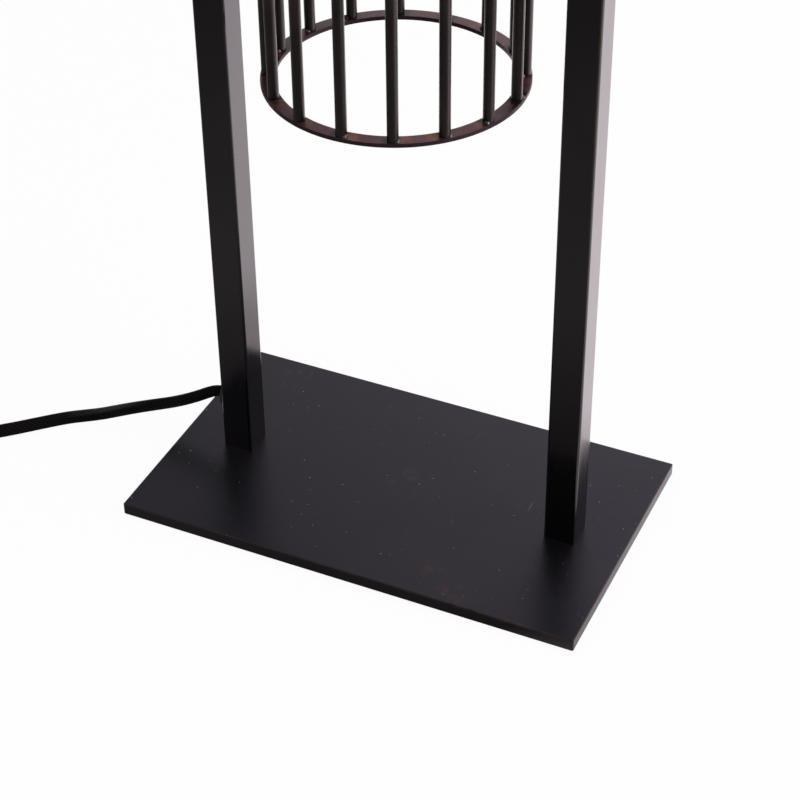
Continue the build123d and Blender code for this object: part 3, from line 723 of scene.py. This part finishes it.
@dataclass(frozen=True)
class ClearGlass(Finish):
    """Thin blown glass."""

    def lay_out(self, bench: Bench) -> None:
        """Clear, with the faint unevenness of blown glass."""
        tint = (0.97, 0.985, 0.985, 1)
        bench.shade(Base_Color=tint, Transmission_Weight=1.0, Roughness=0.0, IOR=1.47)
        bench.relief((bench.noise(28, 2, rough=0.4), 0.10 * MM))


@dataclass(frozen=True)
class Phosphor(Finish):
    """The yellow coat of a light-emitting filament, unlit."""

    colour: Colour = (0.80, 0.43, 0.05)
    pale: Colour = (0.88, 0.60, 0.16)

    def lay_out(self, bench: Bench) -> None:
        """Waxy yellow with the faint beads of the chips under it."""
        beads = bench.noise(900, 2, rough=0.5, stretch=(0.2, 0.2, 1))
        colour = bench.mix(beads, self.colour, self.pale)
        bench.shade(
            Base_Color=colour, Subsurface_Weight=0.2, Subsurface_Scale=0.5 * MM, Roughness=0.45
        )
        bench.relief((beads, 0.05 * MM))


@dataclass(frozen=True)
class Braid(Finish):
    """A textile braid round a lead. It reads the tube's own wrap attribute."""

    colour: Colour = (0.0022, 0.0018, 0.0022)
    light: Colour = (0.0120, 0.0095, 0.0095)
    carriers: int = 8
    crossing: float = 2.6 * MM
    threads: int = 5
    thread_share: float = 0.12
    shine: Pair = (0.05, 0.80)
    # where the painted highlight sits on the lead, and how far it reaches
    highlight_at: Place = (-161 * MM, -8 * MM, 8 * MM)
    highlight_reach: Pair = (8 * MM, 28 * MM)

    def lay_out(self, bench: Bench) -> None:
        """Two sets of yarns that cross, each a bundle of fine threads, with painted highlights on the
        crowns and in one glossy patch.
        """
        x, y, along = bench.axes(bench.node("ShaderNodeAttribute", attribute_name="wrap").outputs["Vector"])
        around = bench.times(bench.maths("ARCTAN2", y, x), float(self.carriers))
        along = bench.times(along, math.tau / self.crossing)
        sets = [bench.maths(kind, around, along) for kind in ("ADD", "SUBTRACT")]
        weave = bench.times(*[bench.maths("SINE", yarns) for yarns in sets])
        over = bench.ease(weave, -0.25, 0.25)
        crowns, threads = [], []
        for yarns in sets:
            crowns.append(bench.maths("ABSOLUTE", bench.maths("COSINE", bench.times(yarns, 0.5))))
            threads.append(bench.maths("SINE", bench.times(yarns, float(self.threads))))
        crown, thread = (
            bench.node("ShaderNodeMix", {0: over, 2: right, 3: left}).outputs[0]
            for right, left in (crowns, threads)
        )
        fluff = bench.noise(3200, 3, rough=0.7)
        patchiness = bench.noise(45, 3, rough=0.6)
        height = bench.maths("ADD", crown, bench.times(thread, self.thread_share))
        # painted highlight: the yarns' crowns lighter than the hollows between them, in patches
        lit = bench.times(bench.fit(height, 0.45, 1.1), bench.fit(patchiness, 0.3, 0.7, 0.3, 1.0))
        # painted highlight: more gloss in one patch of the lead near the post, on faces turned part way up
        painted_gloss = bench.times(
            bench.near(self.highlight_at, *self.highlight_reach), bench.facing_up(0.35, 0.65),
            bench.fit(patchiness, 0.35, 0.55, 0.4, 1),
        )
        bench.shade(
            Base_Color=bench.mix(lit, self.colour, self.light),
            Specular_IOR_Level=bench.fit(painted_gloss, 0, 1, *self.shine),
            Roughness=0.60,
            Sheen_Weight=0.02,
            Sheen_Roughness=0.4,
        )
        bench.relief((height, 0.16 * MM), (fluff, 0.03 * MM))


FRAME_STEEL = BlackenedSteel(
    "frame_steel", roughness=(0.13, 0.21), drawn_along=(1, 1, 0.04), edge_wear_and_highlight_share=0.45
)
BAR_STEEL = BlackenedSteel(
    "bar_steel", roughness=(0.13, 0.21), drawn_along=(0.04, 1, 1), edge_wear_and_highlight_share=0.45
)
PLATE_STEEL = PlateSteel(
    "plate_steel", roughness=(0.31, 0.40), drawn_along=(0.03, 1, 1), tint=(1.0, 0.94, 0.92)
)
ROD_STEEL = BlackenedSteel(
    "rod_steel", roughness=(0.30, 0.42), colour=(0.006, 0.0045, 0.004), brown=(0.040, 0.024, 0.018),
    brown_share=0.6, drawn_along=(1, 1, 0.03), specular=0.40, tint=(1.0, 0.90, 0.86),
)
CAGE_STEEL = BlackenedSteel("cage_steel", colour=(0.005, 0.0042, 0.0042), brown_share=0.6)
RING_STEEL = BronzedSteel("ring_steel")
WELD = BareMetal("weld", (0.15, 0.14, 0.135), (0.42, 0.58), tarnish=(0.06, 0.035, 0.025), tarnish_share=0.5)
ZINC = BareMetal("zinc", (0.60, 0.60, 0.61))
NICKEL = BareMetal("nickel", (0.66, 0.64, 0.60), (0.14, 0.26), tarnish_share=0.06)
BRASS = BareMetal("brass", (0.72, 0.52, 0.22), tarnish=(0.32, 0.20, 0.08))
SOLDER = BareMetal("solder", (0.58, 0.58, 0.57), (0.30, 0.5))
PHENOLIC = Moulded("phenolic", (0.012, 0.011, 0.011), (0.24, 0.36), 0.008, scuff=(0.03, 0.028, 0.027))
BLACK_PLASTIC = Moulded("black_plastic", (0.012, 0.012, 0.0125), (0.36, 0.50))
GLOSS_PLASTIC = Moulded("gloss_plastic", (0.010, 0.010, 0.011), (0.16, 0.26), 0.003)
SOFT_PLASTIC = Moulded("soft_plastic", (0.013, 0.013, 0.013), (0.50, 0.62), 0.02)
PAD_RUBBER = Moulded("pad_rubber", (0.020, 0.020, 0.020), (0.60, 0.78), 0.03)
INSULATOR = Moulded("insulator", (0.010, 0.010, 0.020), (0.08, 0.14), 0.004)
BROWN_SKIN = Moulded("brown_skin", (0.16, 0.06, 0.025), (0.34, 0.46), 0.006)
CERAMIC = Glazed("ceramic")
CLEAR_GLASS = ClearGlass("clear_glass")
PHOSPHOR = Phosphor("phosphor")
BRAID = Braid("braid")


# The studio


@dataclass
class Lamp:
    """A square soft lamp that looks at a point."""

    name: str
    place: Place
    power: float
    size: float = 1.2
    aim: Place = (0.0, 0.0, 0.2)

    def light(self) -> None:
        """Adds the lamp."""
        data = bpy.data.lights.new(self.name, "AREA")
        data.shape = "SQUARE"
        data.size = self.size
        data.energy = self.power
        lamp = add_object(self.name, data)
        lamp.location = self.place
        lamp.rotation_euler = (Vector(self.aim) - Vector(self.place)).to_track_quat("-Z", "Y").to_euler()


@dataclass
class Studio:
    """The camera, the lamps, the sky and the floor."""

    camera_place: Place = (0.34784, -0.74604, 0.70064)
    azimuth: float = 24.99
    elevation: float = 37.86
    roll: float = -0.62
    lens_mm: float = 96.9
    sky_strength: float = 0.50
    sky_bright_side: Place = (0.5, 0.8, -0.1)
    sky_shine: Sequence[Pair] = ((0.15, 0.10), (0.46, 1.2))
    floor_size: float = 9.0
    floor_glow: float = 0.95
    floor_bright_side: Place = (0.3, 0.95, 0.0)
    floor_shine: Sequence[Pair] = (
        (-0.750, 0.14), (-0.480, 0.22), (-0.190, 0.36), (-0.070, 0.14), (-0.045, 0.14),
        (-0.025, 0.98), (0.095, 1.30), (0.140, 2.05), (0.300, 2.20),
    )
    floor_paper: Colour = (0.92, 0.92, 0.92)
    floor_tint: Colour = (1.0, 0.91, 0.95)
    lamps: list[Lamp] = field(
        default_factory=lambda: [
            Lamp("key", (1.7, 0.1, 1.6), 22),
            Lamp("side", (2.0, -0.4, 0.7), 10),
            Lamp("fill", (-1.3, -1.3, 1.6), 7),
        ]
    )

    def set_up(self) -> None:
        """Sets up the whole studio."""
        self.camera()
        for lamp in self.lamps:
            lamp.light()
        self.sky()
        self.floor()
        bpy.context.scene.view_settings.view_transform = "Standard"

    def camera(self) -> None:
        """Places the camera where the photograph was taken from."""
        azimuth, elevation, roll = (math.radians(a) for a in (self.azimuth, self.elevation, self.roll))
        turn = Matrix.Rotation(azimuth, 4, "Z") @ Matrix.Rotation(math.pi / 2 - elevation, 4, "X")
        data = bpy.data.cameras.new("camera")
        data.lens = self.lens_mm
        data.sensor_width = 36
        data.clip_end = 50
        camera = add_object("camera", data)
        camera.matrix_world = (
            Matrix.Translation(self.camera_place) @ turn @ Matrix.Rotation(roll, 4, "Z")
        )
        bpy.context.scene.camera = camera

    @staticmethod
    def gradient(board: Board, source: str, side: Place, steps: Sequence[Pair]) -> NodeSocket:
        """A value that changes step by step towards one side of the studio.

        Args:
            board: The node tree.
            source: The output of the coordinates that it reads.
            side: The direction in which it changes.
            steps: Distances along that direction, each with the value there.

        Returns:
            The value.
        """
        ends = {0: board.node("ShaderNodeTexCoord").outputs[source], 1: side}
        far = board.node("ShaderNodeVectorMath", ends, operation="DOT_PRODUCT").outputs["Value"]
        total = steps[0][1]
        for (start, low), (end, high) in zip(steps, steps[1:]):
            total = board.maths("ADD", total, board.fit(far, start, end, 0, high - low))
        return total

    @staticmethod
    def layered(
        board: Board, lit: NodeSocket, seen: NodeSocket, mirrored: NodeSocket, share: float
    ) -> NodeSocket:
        """Mixes what lights the object, what is seen and what is mirrored.

        Args:
            board: The node tree.
            lit: The shader for light that falls on the object.
            seen: The shader for the camera and through glass.
            mirrored: The shader for reflections.
            share: How much of what is seen is mixed in.

        Returns:
            The mixed shader.
        """
        rays = board.node("ShaderNodeLightPath").outputs
        plainly = board.maths("MAXIMUM", rays["Is Camera Ray"], rays["Is Transmission Ray"])
        result = lit
        for test, shader in ((board.times(plainly, share), seen), (rays["Is Glossy Ray"], mirrored)):
            result = board.node("ShaderNodeMixShader", {0: test, 1: result, 2: shader}).outputs[0]
        return result

    def sky(self) -> None:
        """White where it is seen, brighter towards the back right in reflections."""
        world = bpy.data.worlds.new("sky")
        bpy.context.scene.world = world
        world.use_nodes = True
        board = Board(world.node_tree)
        rise = self.gradient(board, "Generated", self.sky_bright_side, self.sky_shine)
        lights = []
        for strength in (self.sky_strength, 1.0, rise):
            light = board.node("ShaderNodeBackground", {"Color": (1, 1, 1, 1), "Strength": strength})
            lights.append(light.outputs[0])
        board.node("ShaderNodeOutputWorld", {"Surface": self.layered(board, *lights, 1.0)})

    def floor(self) -> None:
        """A white floor that keeps a faint shadow and is lit from behind in reflections."""
        deselect()
        bpy.ops.mesh.primitive_plane_add(size=self.floor_size, location=(0, 0, 0))
        floor = bpy.context.object
        floor.name = "floor"
        material = bpy.data.materials.new("floor")
        material.use_nodes = True
        board = Board(material.node_tree)
        rise = self.gradient(board, "Object", self.floor_bright_side, self.floor_shine)
        paper = board.node("ShaderNodeBsdfDiffuse", {"Color": (*self.floor_paper, 1)}).outputs[0]
        glow = board.node("ShaderNodeEmission").outputs[0]
        shine = {"Color": (*self.floor_tint, 1), "Strength": rise}
        shine = board.node("ShaderNodeEmission", shine).outputs[0]
        result = self.layered(board, paper, glow, shine, self.floor_glow)
        board.node("ShaderNodeOutputMaterial", {"Surface": result})
        floor.data.materials.append(material)


# The lead


@dataclass
class FreeLead:
    """A stretch of the braided lead, laid along a given route."""

    name: str
    route: Sequence[Place]
    length: float
    far_end: str
    lay: str
    nodes: Sequence[str]
    pieces: Sequence[Object | str]
    diameter: float = 6.8 * MM
    flatness: float = 0.20
    fullness: float = 1.02
    twist: float = 0.74
    first_turn: float = 86.0
    rounded_end: float = 3 * MM
    sides: int = 28
    resolution: int = 10

    def centre_line(self) -> list[Vector]:
        """The points of the smooth spline that the route controls."""
        guide = lay_spline(f"{self.name}_line", self.route, self.resolution)
        bpy.context.view_layer.update()
        graph = bpy.context.evaluated_depsgraph_get()
        mesh = bpy.data.meshes.new_from_object(guide.evaluated_get(graph))
        line = [vertex.co.copy() for vertex in mesh.vertices]
        bpy.data.objects.remove(guide)
        bpy.data.meshes.remove(mesh)
        return line

    def build(self) -> Object:
        """Returns:
            The tube, with its angle round the line and its distance along it in an attribute.
        """
        line = self.centre_line()
        radius = self.fullness * self.diameter / 2
        rings, wrap, along = [], [], 0.0
        ahead = (line[1] - line[0]).normalized()
        side = ahead.orthogonal().normalized()
        for number, centre in enumerate(line):
            before, after = line[max(number - 1, 0)], line[min(number + 1, len(line) - 1)]
            ahead = (after - before).normalized()
            side = (side - ahead * side.dot(ahead)).normalized()
            over = ahead.cross(side)
            along += (centre - before).length
            long_side = math.radians(self.first_turn) + math.tau * along / self.twist
            flatness = self.flatness * min(along / self.rounded_end, 1)
            for step in range(self.sides):
                angle = math.tau * step / self.sides
                cosine, sine = math.cos(angle), math.sin(angle)
                reach = radius * (1 - flatness * math.sin(angle - long_side) ** 2)
                rings.append(centre + reach * (cosine * side + sine * over))
                wrap.append((cosine, sine, along))
        faces, last = [], len(rings) - self.sides
        for first in range(0, last, self.sides):
            for step in range(self.sides):
                a, b = first + step, first + (step + 1) % self.sides
                faces.append((a, b, b + self.sides, a + self.sides))
        faces += [tuple(reversed(range(self.sides))), tuple(range(last, len(rings)))]
        mesh = bpy.data.meshes.new(self.name)
        mesh.from_pydata(rings, [], faces)
        attribute = mesh.attributes.new("wrap", "FLOAT_VECTOR", "POINT")
        attribute.data.foreach_set("vector", [value for item in wrap for value in item])
        work = Workpiece(add_object(self.name, mesh), self.name).smooth(40)
        made = work.finish(BRAID, Body.LAMP, "cord_braid", *self.nodes)
        LOG.info("%s is %.3f m long", self.name, along)
        return made


def in_metres(points: Iterable[Place]) -> list[Place]:
    """Points given in millimetres, in metres."""
    return [tuple(value * MM for value in point) for point in points]


@dataclass
class PowerLead:
    """The lead from the post to the switch, and from the switch through the coil to the plug."""

    switch_pieces: list[Object | str]
    plug_pieces: list[Object | str]
    coil_centre: Pair = (-361.0, -10.5)
    coil_radius: float = 49.5
    coil_pitch: float = 8.8
    coil_heights: Pair = (11.9, 4.4)
    half_turns: int = 12
    half_turns_down: int = 5
    points_a_half_turn: int = 8
    cord: float = 6.8

    def lead_route(self) -> list[Place]:
        """From the bushing, down onto the table and out to the switch."""
        return in_metres([
            (-97.7, 0, 35.3), (-101.0, 0, 35.3), (-106.0, -1.0, 33.3), (-113.0, -2.8, 29.3),
            (-124.0, -4.7, 23.9), (-137.0, -5.9, 18.6), (-150.0, -6.9, 13.0), (-160.0, -7.5, 8.2),
            (-168.0, -8.9, 4.9), (-175.5, -11.9, 3.5), (-183.5, -17.3, 3.5), (-193.0, -26.0, 3.5),
            (-204.0, -36.4, 3.5), (-217.0, -47.8, 3.5), (-229.5, -56.0, 4.2), (-241.5, -60.0, 8.6),
            (-254.0, -60.0, 8.6),
        ])

    def coil_points(self) -> list[Place]:
        """The coil's turns: inwards on the upper layer, down, and outwards below."""
        (x, y), top_radius = self.coil_centre, self.coil_radius
        offsets, heights = [top_radius], [self.coil_heights[0]]
        for number in range(1, self.half_turns + 1):
            step = -self.coil_pitch / 2 if number <= self.half_turns_down else self.coil_pitch / 2
            offsets.append(offsets[-1] + (0 if number == self.half_turns_down + 1 else step))
            heights.append(self.coil_heights[0 if number <= self.half_turns_down else 1])
        swell = 1 / (0.75 + 0.25 * math.cos(math.pi / self.points_a_half_turn))
        points = []
        for number in range(self.half_turns):
            way = -1 if number % 2 == 0 else 1
            start, end = offsets[number], offsets[number + 1]
            low, high = heights[number + 1], heights[number]
            radius = way * swell * (start + end) / 2
            middle = y + way * (start - end) / 2
            for step in range(self.points_a_half_turn):
                angle = math.pi * (step + 0.5) / self.points_a_half_turn
                height = (low + high) / 2 + (high - low) / 2 * math.cos(angle)
                points.append((x + radius * math.sin(angle), middle + radius * math.cos(angle), height))
        return points

    def flex_route(self) -> list[Place]:
        """From the switch, round the coil and on to the plug."""
        x, y = self.coil_centre
        top, bottom = self.coil_heights
        start_y = y - self.coil_radius
        end_y = start_y - self.coil_pitch / 2
        return in_metres([
            (-306.0, start_y, 8.6), (-320.5, start_y, 8.6), (-337.5, start_y, top),
            (x + self.cord, start_y, top), *self.coil_points(), (x - self.cord, end_y, bottom),
            (-374.5, end_y, bottom), (-388.5, end_y, 6.95), (-402.0, end_y, 6.95),
        ])

    def build(self) -> None:
        """Makes both stretches."""
        FreeLead(
            "lead", self.lead_route(), 0.181, "fitting", "loose", ("cord_lead",), self.switch_pieces
        ).build()
        FreeLead(
            "flex", self.flex_route(), 1.55, "plug", "coiled", ("cord_link", "cord_coil", "cord_tail"),
            self.plug_pieces, sides=20, resolution=4,
        ).build()


# The lamp, from the table up


@dataclass(frozen=True)
class WeldBead:
    """A bead of weld metal, lying on its flat side: long in X and domed in Z."""

    length: float
    width: float
    height: float
    seed: int = 1
    rings: int = 8
    depth: float = 0.15
    unevenness: float = 0.06

    def shape(self, name: str) -> Workpiece:
        """Makes the bead at the origin.

        Args:
            name: The piece's name.

        Returns:
            The bead, which reaches a little way into the surface that it lies on.
        """
        work = Workpiece.ball(name, (self.length, self.width, 2 * self.height), self.rings)
        work.edit()
        bpy.ops.mesh.bisect(
            plane_co=(0, 0, -self.depth * self.height), plane_no=(0, 0, 1), use_fill=True, clear_inner=True
        )
        bpy.ops.mesh.select_all(action="SELECT")
        bpy.ops.transform.vertex_random(offset=self.unevenness * self.height, seed=self.seed)
        deselect()
        return work.smooth(60)


class Assembly:
    """Pieces that belong together: nodes that keep their shape, rounded ones and added ones."""

    kept: ClassVar[dict[str, Finish]] = {}
    rounded: ClassVar[tuple[Rounded, ...]] = ()

    def added(self) -> list[Object]:
        """Makes the pieces that stand for no node. Most assemblies have none."""
        return []

    def build(self) -> list[Object | str]:
        """Finishes and makes the assembly's pieces.

        Returns:
            The pieces that are made, and the names of the nodes that keep their shape.
        """
        for node, finish in self.kept.items():
            dress(finish, node)
        made = [piece.build() for piece in self.rounded] + self.added()
        LOG.info("%s is done", type(self).__name__)
        return [*made, *self.kept]


class BasePlate(Assembly):
    """The flat plate, on four rubber pads, with the two screws that hold the posts."""

    rounded = (
        Rounded("base_plate", PLATE_STEEL, "plate_steel", 0.35 * MM),
        Rounded("base_pads", PAD_RUBBER, "pad_rubber", 0.35 * MM),
        Rounded("foot_screws", ZINC, "bright_steel", 0.15 * MM),
    )


@dataclass
class PortalFrame(Assembly):
    """The two posts and the bar, with their foot plugs and the lead's bushing."""

    kept = {
        "left_post": FRAME_STEEL, "right_post": FRAME_STEEL, "top_bar": BAR_STEEL,
        "inner_lead": SOFT_PLASTIC,
    }
    rounded = (
        Rounded("left_foot_plug", ZINC, "bright_steel", 0.4 * MM),
        Rounded("right_foot_plug", ZINC, "bright_steel", 0.4 * MM),
        Rounded("cable_bushing", SOFT_PLASTIC, "bushing_plastic", 0.25 * MM),
    )
    seam: WeldBead = WeldBead(20.5 * MM, 1.5 * MM, 0.16 * MM, 7)

    def added(self) -> list[Object]:
        """Lays a bead, ground nearly flush, along each mitre, in front and behind."""
        low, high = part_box("top_bar")
        middle = (low.z + high.z) / 2
        places = []
        for side in (-1, 1):
            slant = Matrix.Rotation(-side * math.pi / 4, 4, "Y")
            for face, turn in ((low.y, math.pi / 2), (high.y, -math.pi / 2)):
                at = Matrix.Translation((side * (high.x + middle - high.z), face, middle))
                places.append(at @ slant @ Matrix.Rotation(turn, 4, "X"))
        seams = self.seam.shape("mitre_welds").copies(places)
        return [seams.finish(FRAME_STEEL, Body.LAMP, "frame_steel")]


@dataclass
class Cage(Assembly):
    """Sixteen rods between two rings, welded at both ends, under a four-armed spider."""

    kept = {f"cage_rod_{number:02d}": ROD_STEEL for number in range(1, 17)}
    rounded = (
        Rounded("cage_bottom_ring", RING_STEEL, "ring_steel", 0.30 * MM),
        Rounded("cage_top_ring", RING_STEEL, "ring_steel", 0.30 * MM),
        Rounded("cage_spider", CAGE_STEEL, "cage_steel", 0.30 * MM),
    )
    bead: WeldBead = WeldBead(2.7 * MM, 2.2 * MM, 1.2 * MM)
    bead_reach: float = 2.5 * MM
    bead_turns: tuple[float, ...] = (
        50, -128, 110, 98, 104, 112, 96, 108, 101, 114, -108, -114, 64, 54, 45, -62
    )
    bead_jitter: float = 4
    bead_sizes: Pair = (0.85, 1.15)
    arm_bead: WeldBead = WeldBead(5.2 * MM, 1.8 * MM, 1.0 * MM, 4)
    arms: int = 4
    arm_half: float = 5.3 * MM
    arm_inset: float = 3.2 * MM

    def end_welds(self, name: str, height: float, upside_down: bool) -> Object:
        """Lays one bead at an end of every rod.

        Args:
            name: The piece's name.
            height: The height of the ring's face.
            upside_down: True for the upper ends.

        Returns:
            The beads, joined.
        """
        chance = random.Random(name)
        places = []
        for node, side in zip(self.kept, self.bead_turns):
            rod = node_centre(node)
            side += chance.uniform(-self.bead_jitter, self.bead_jitter)
            turn = math.atan2(rod.y, rod.x) + math.radians(side)
            at = Vector((rod.x, rod.y, height))
            at += self.bead_reach * Vector((math.cos(turn), math.sin(turn), 0))
            sizes = [chance.uniform(*self.bead_sizes) for _ in range(2)]
            flip = Matrix.Rotation(math.pi if upside_down else 0, 4, "X")
            about = Matrix.Rotation(turn + math.pi / 2, 4, "Z")
            places.append(Matrix.Translation(at) @ about @ flip @ Matrix.Diagonal((*sizes, 1, 1)))
        return self.bead.shape(name).copies(places).finish(WELD, Body.LAMP, "cage_steel")

    def arm_welds(self) -> Object:
        """Lays a bead along both sides of each arm's end, on the upper ring."""
        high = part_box("cage_top_ring")[1]
        places = []
        for about in turns(self.arms):
            for side in (-self.arm_half, self.arm_half):
                places.append(about @ Matrix.Translation((high.x - self.arm_inset, side, high.z)))
        return self.arm_bead.shape("arm_welds").copies(places).finish(WELD, Body.LAMP, "cage_steel")

    def added(self) -> list[Object]:
        """Lays all the welds."""
        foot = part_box("cage_bottom_ring")[1].z
        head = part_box("cage_top_ring")[0].z
        return [
            self.end_welds("foot_welds", foot, False),
            self.end_welds("head_welds", head, True),
            self.arm_welds(),
        ]


class Hanger(Assembly):
    """The threaded tube that hangs the cage from the bar, with its sleeve, washers and nut."""

    kept = {"hanger_nipple": ZINC}
    rounded = (
        Rounded("hanger_bush", ZINC, "bright_steel", 0.35 * MM),
        Rounded("hanger_sleeve", CAGE_STEEL, "black_sleeve", 0.35 * MM),
        Rounded("hanger_washers", ZINC, "bright_steel", 0.35 * MM),
        Rounded("hanger_nut", ZINC, "bright_steel", 0.35 * MM),
    )


class LampHolder(Assembly):
    """The holder of black phenolic with a ceramic insert and brass contacts."""

    kept = {"conductors": BROWN_SKIN}
    rounded = (
        Rounded("holder_cap", PHENOLIC, "holder_plastic", 0.5 * MM),
        Rounded("holder_skirt", PHENOLIC, "holder_plastic", 0.5 * MM),
        Rounded("holder_insert", CERAMIC, "holder_ceramic", 0.5 * MM),
        Rounded("holder_contacts", BRASS, "contact_brass", 0.12 * MM),
        Rounded("holder_screws", ZINC, "bright_steel", 0.12 * MM),
    )


@dataclass
class Bulb(Assembly):
    """A clear bulb with four filaments on wires round a glass stem."""

    kept = {
        "bulb_glass": CLEAR_GLASS, "bulb_stem": CLEAR_GLASS, "bulb_filaments": PHOSPHOR,
        "bulb_insulator": INSULATOR,
    }
    rounded = (
        Rounded("bulb_cap", NICKEL, "bulb_cap_metal", 0.4 * MM, Body.BULB),
        Rounded("bulb_contact", SOLDER, "solder", 0.4 * MM, Body.BULB, 3),
    )
    filaments: int = 4
    wire_radius: float = 0.25 * MM
    filament_circle: float = 8.0 * MM
    first_turn: float = 45

    def added(self) -> list[Object]:
        """Bends the wires that hold the filaments: a hook below and a leg above each."""
        low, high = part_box("bulb_filaments")
        stem_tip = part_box("bulb_stem")[0].z
        reach = self.filament_circle
        hook = [
            (0, 0, stem_tip + 1.5 * MM),
            (0.25 * reach, 0, stem_tip - 1.5 * MM),
            (0.90 * reach, 0, stem_tip + 1.0 * MM),
            (reach, 0, stem_tip + 7.0 * MM),
            (reach, 0, low.z + 0.6 * MM),
        ]
        leg = [
            (reach, 0, high.z - 0.6 * MM),
            (reach, 0, high.z + 1.8 * MM),
            (0.85 * reach, 0, high.z + 3.0 * MM),
            (0.60 * reach, 0, high.z + 5.5 * MM),
        ]
        shapes = (("hook", hook), ("leg", leg))
        wires = [Workpiece.wire(name, points, self.wire_radius).piece for name, points in shapes]
        pair = Workpiece.joined("filament_wires", wires).smooth(50)
        all_round = pair.copies(turns(self.filaments, self.first_turn))
        return [all_round.finish(NICKEL, Body.BULB, "bulb_cap_metal")]


class InlineSwitch(Assembly):
    """The switch in the lead: a base and a cover round a rocker."""

    kept = {"switch_contacts": BRASS}
    rounded = (
        Rounded("switch_base", BLACK_PLASTIC, "switch_plastic", 0.28 * MM),
        Rounded("switch_cover", BLACK_PLASTIC, "switch_plastic", 0.28 * MM),
        Rounded("switch_rocker", GLOSS_PLASTIC, "rocker_plastic", 0.4 * MM, Body.ROCKER),
        Rounded("switch_screws", ZINC, "bright_steel", 0.12 * MM),
    )


class Plug(Assembly):
    """The flat two-pin plug with its ribbed relief, and the tie round the coil."""

    kept = {"plug_pins": NICKEL}
    rounded = (
        Rounded("plug_body", SOFT_PLASTIC, "plug_plastic", 1.1 * MM, segments=4, angle=12),
        Rounded("plug_pin_sleeves", SOFT_PLASTIC, "sleeve_plastic", 0.2 * MM),
        Rounded("plug_relief", SOFT_PLASTIC, "plug_plastic", 0.25 * MM),
        Rounded("coil_tie", SOFT_PLASTIC, "tie_plastic", 0.25 * MM),
    )


def main() -> None:
    """Builds the lamp, sub-assembly by sub-assembly."""
    logging.basicConfig(level=logging.INFO, format="%(message)s")
    Studio().set_up()
    for part in (BasePlate(), PortalFrame(), Cage(), Hanger(), LampHolder(), Bulb()):
        part.build()
    PowerLead(InlineSwitch().build(), Plug().build()).build()


if __name__ == "__main__":
    main()
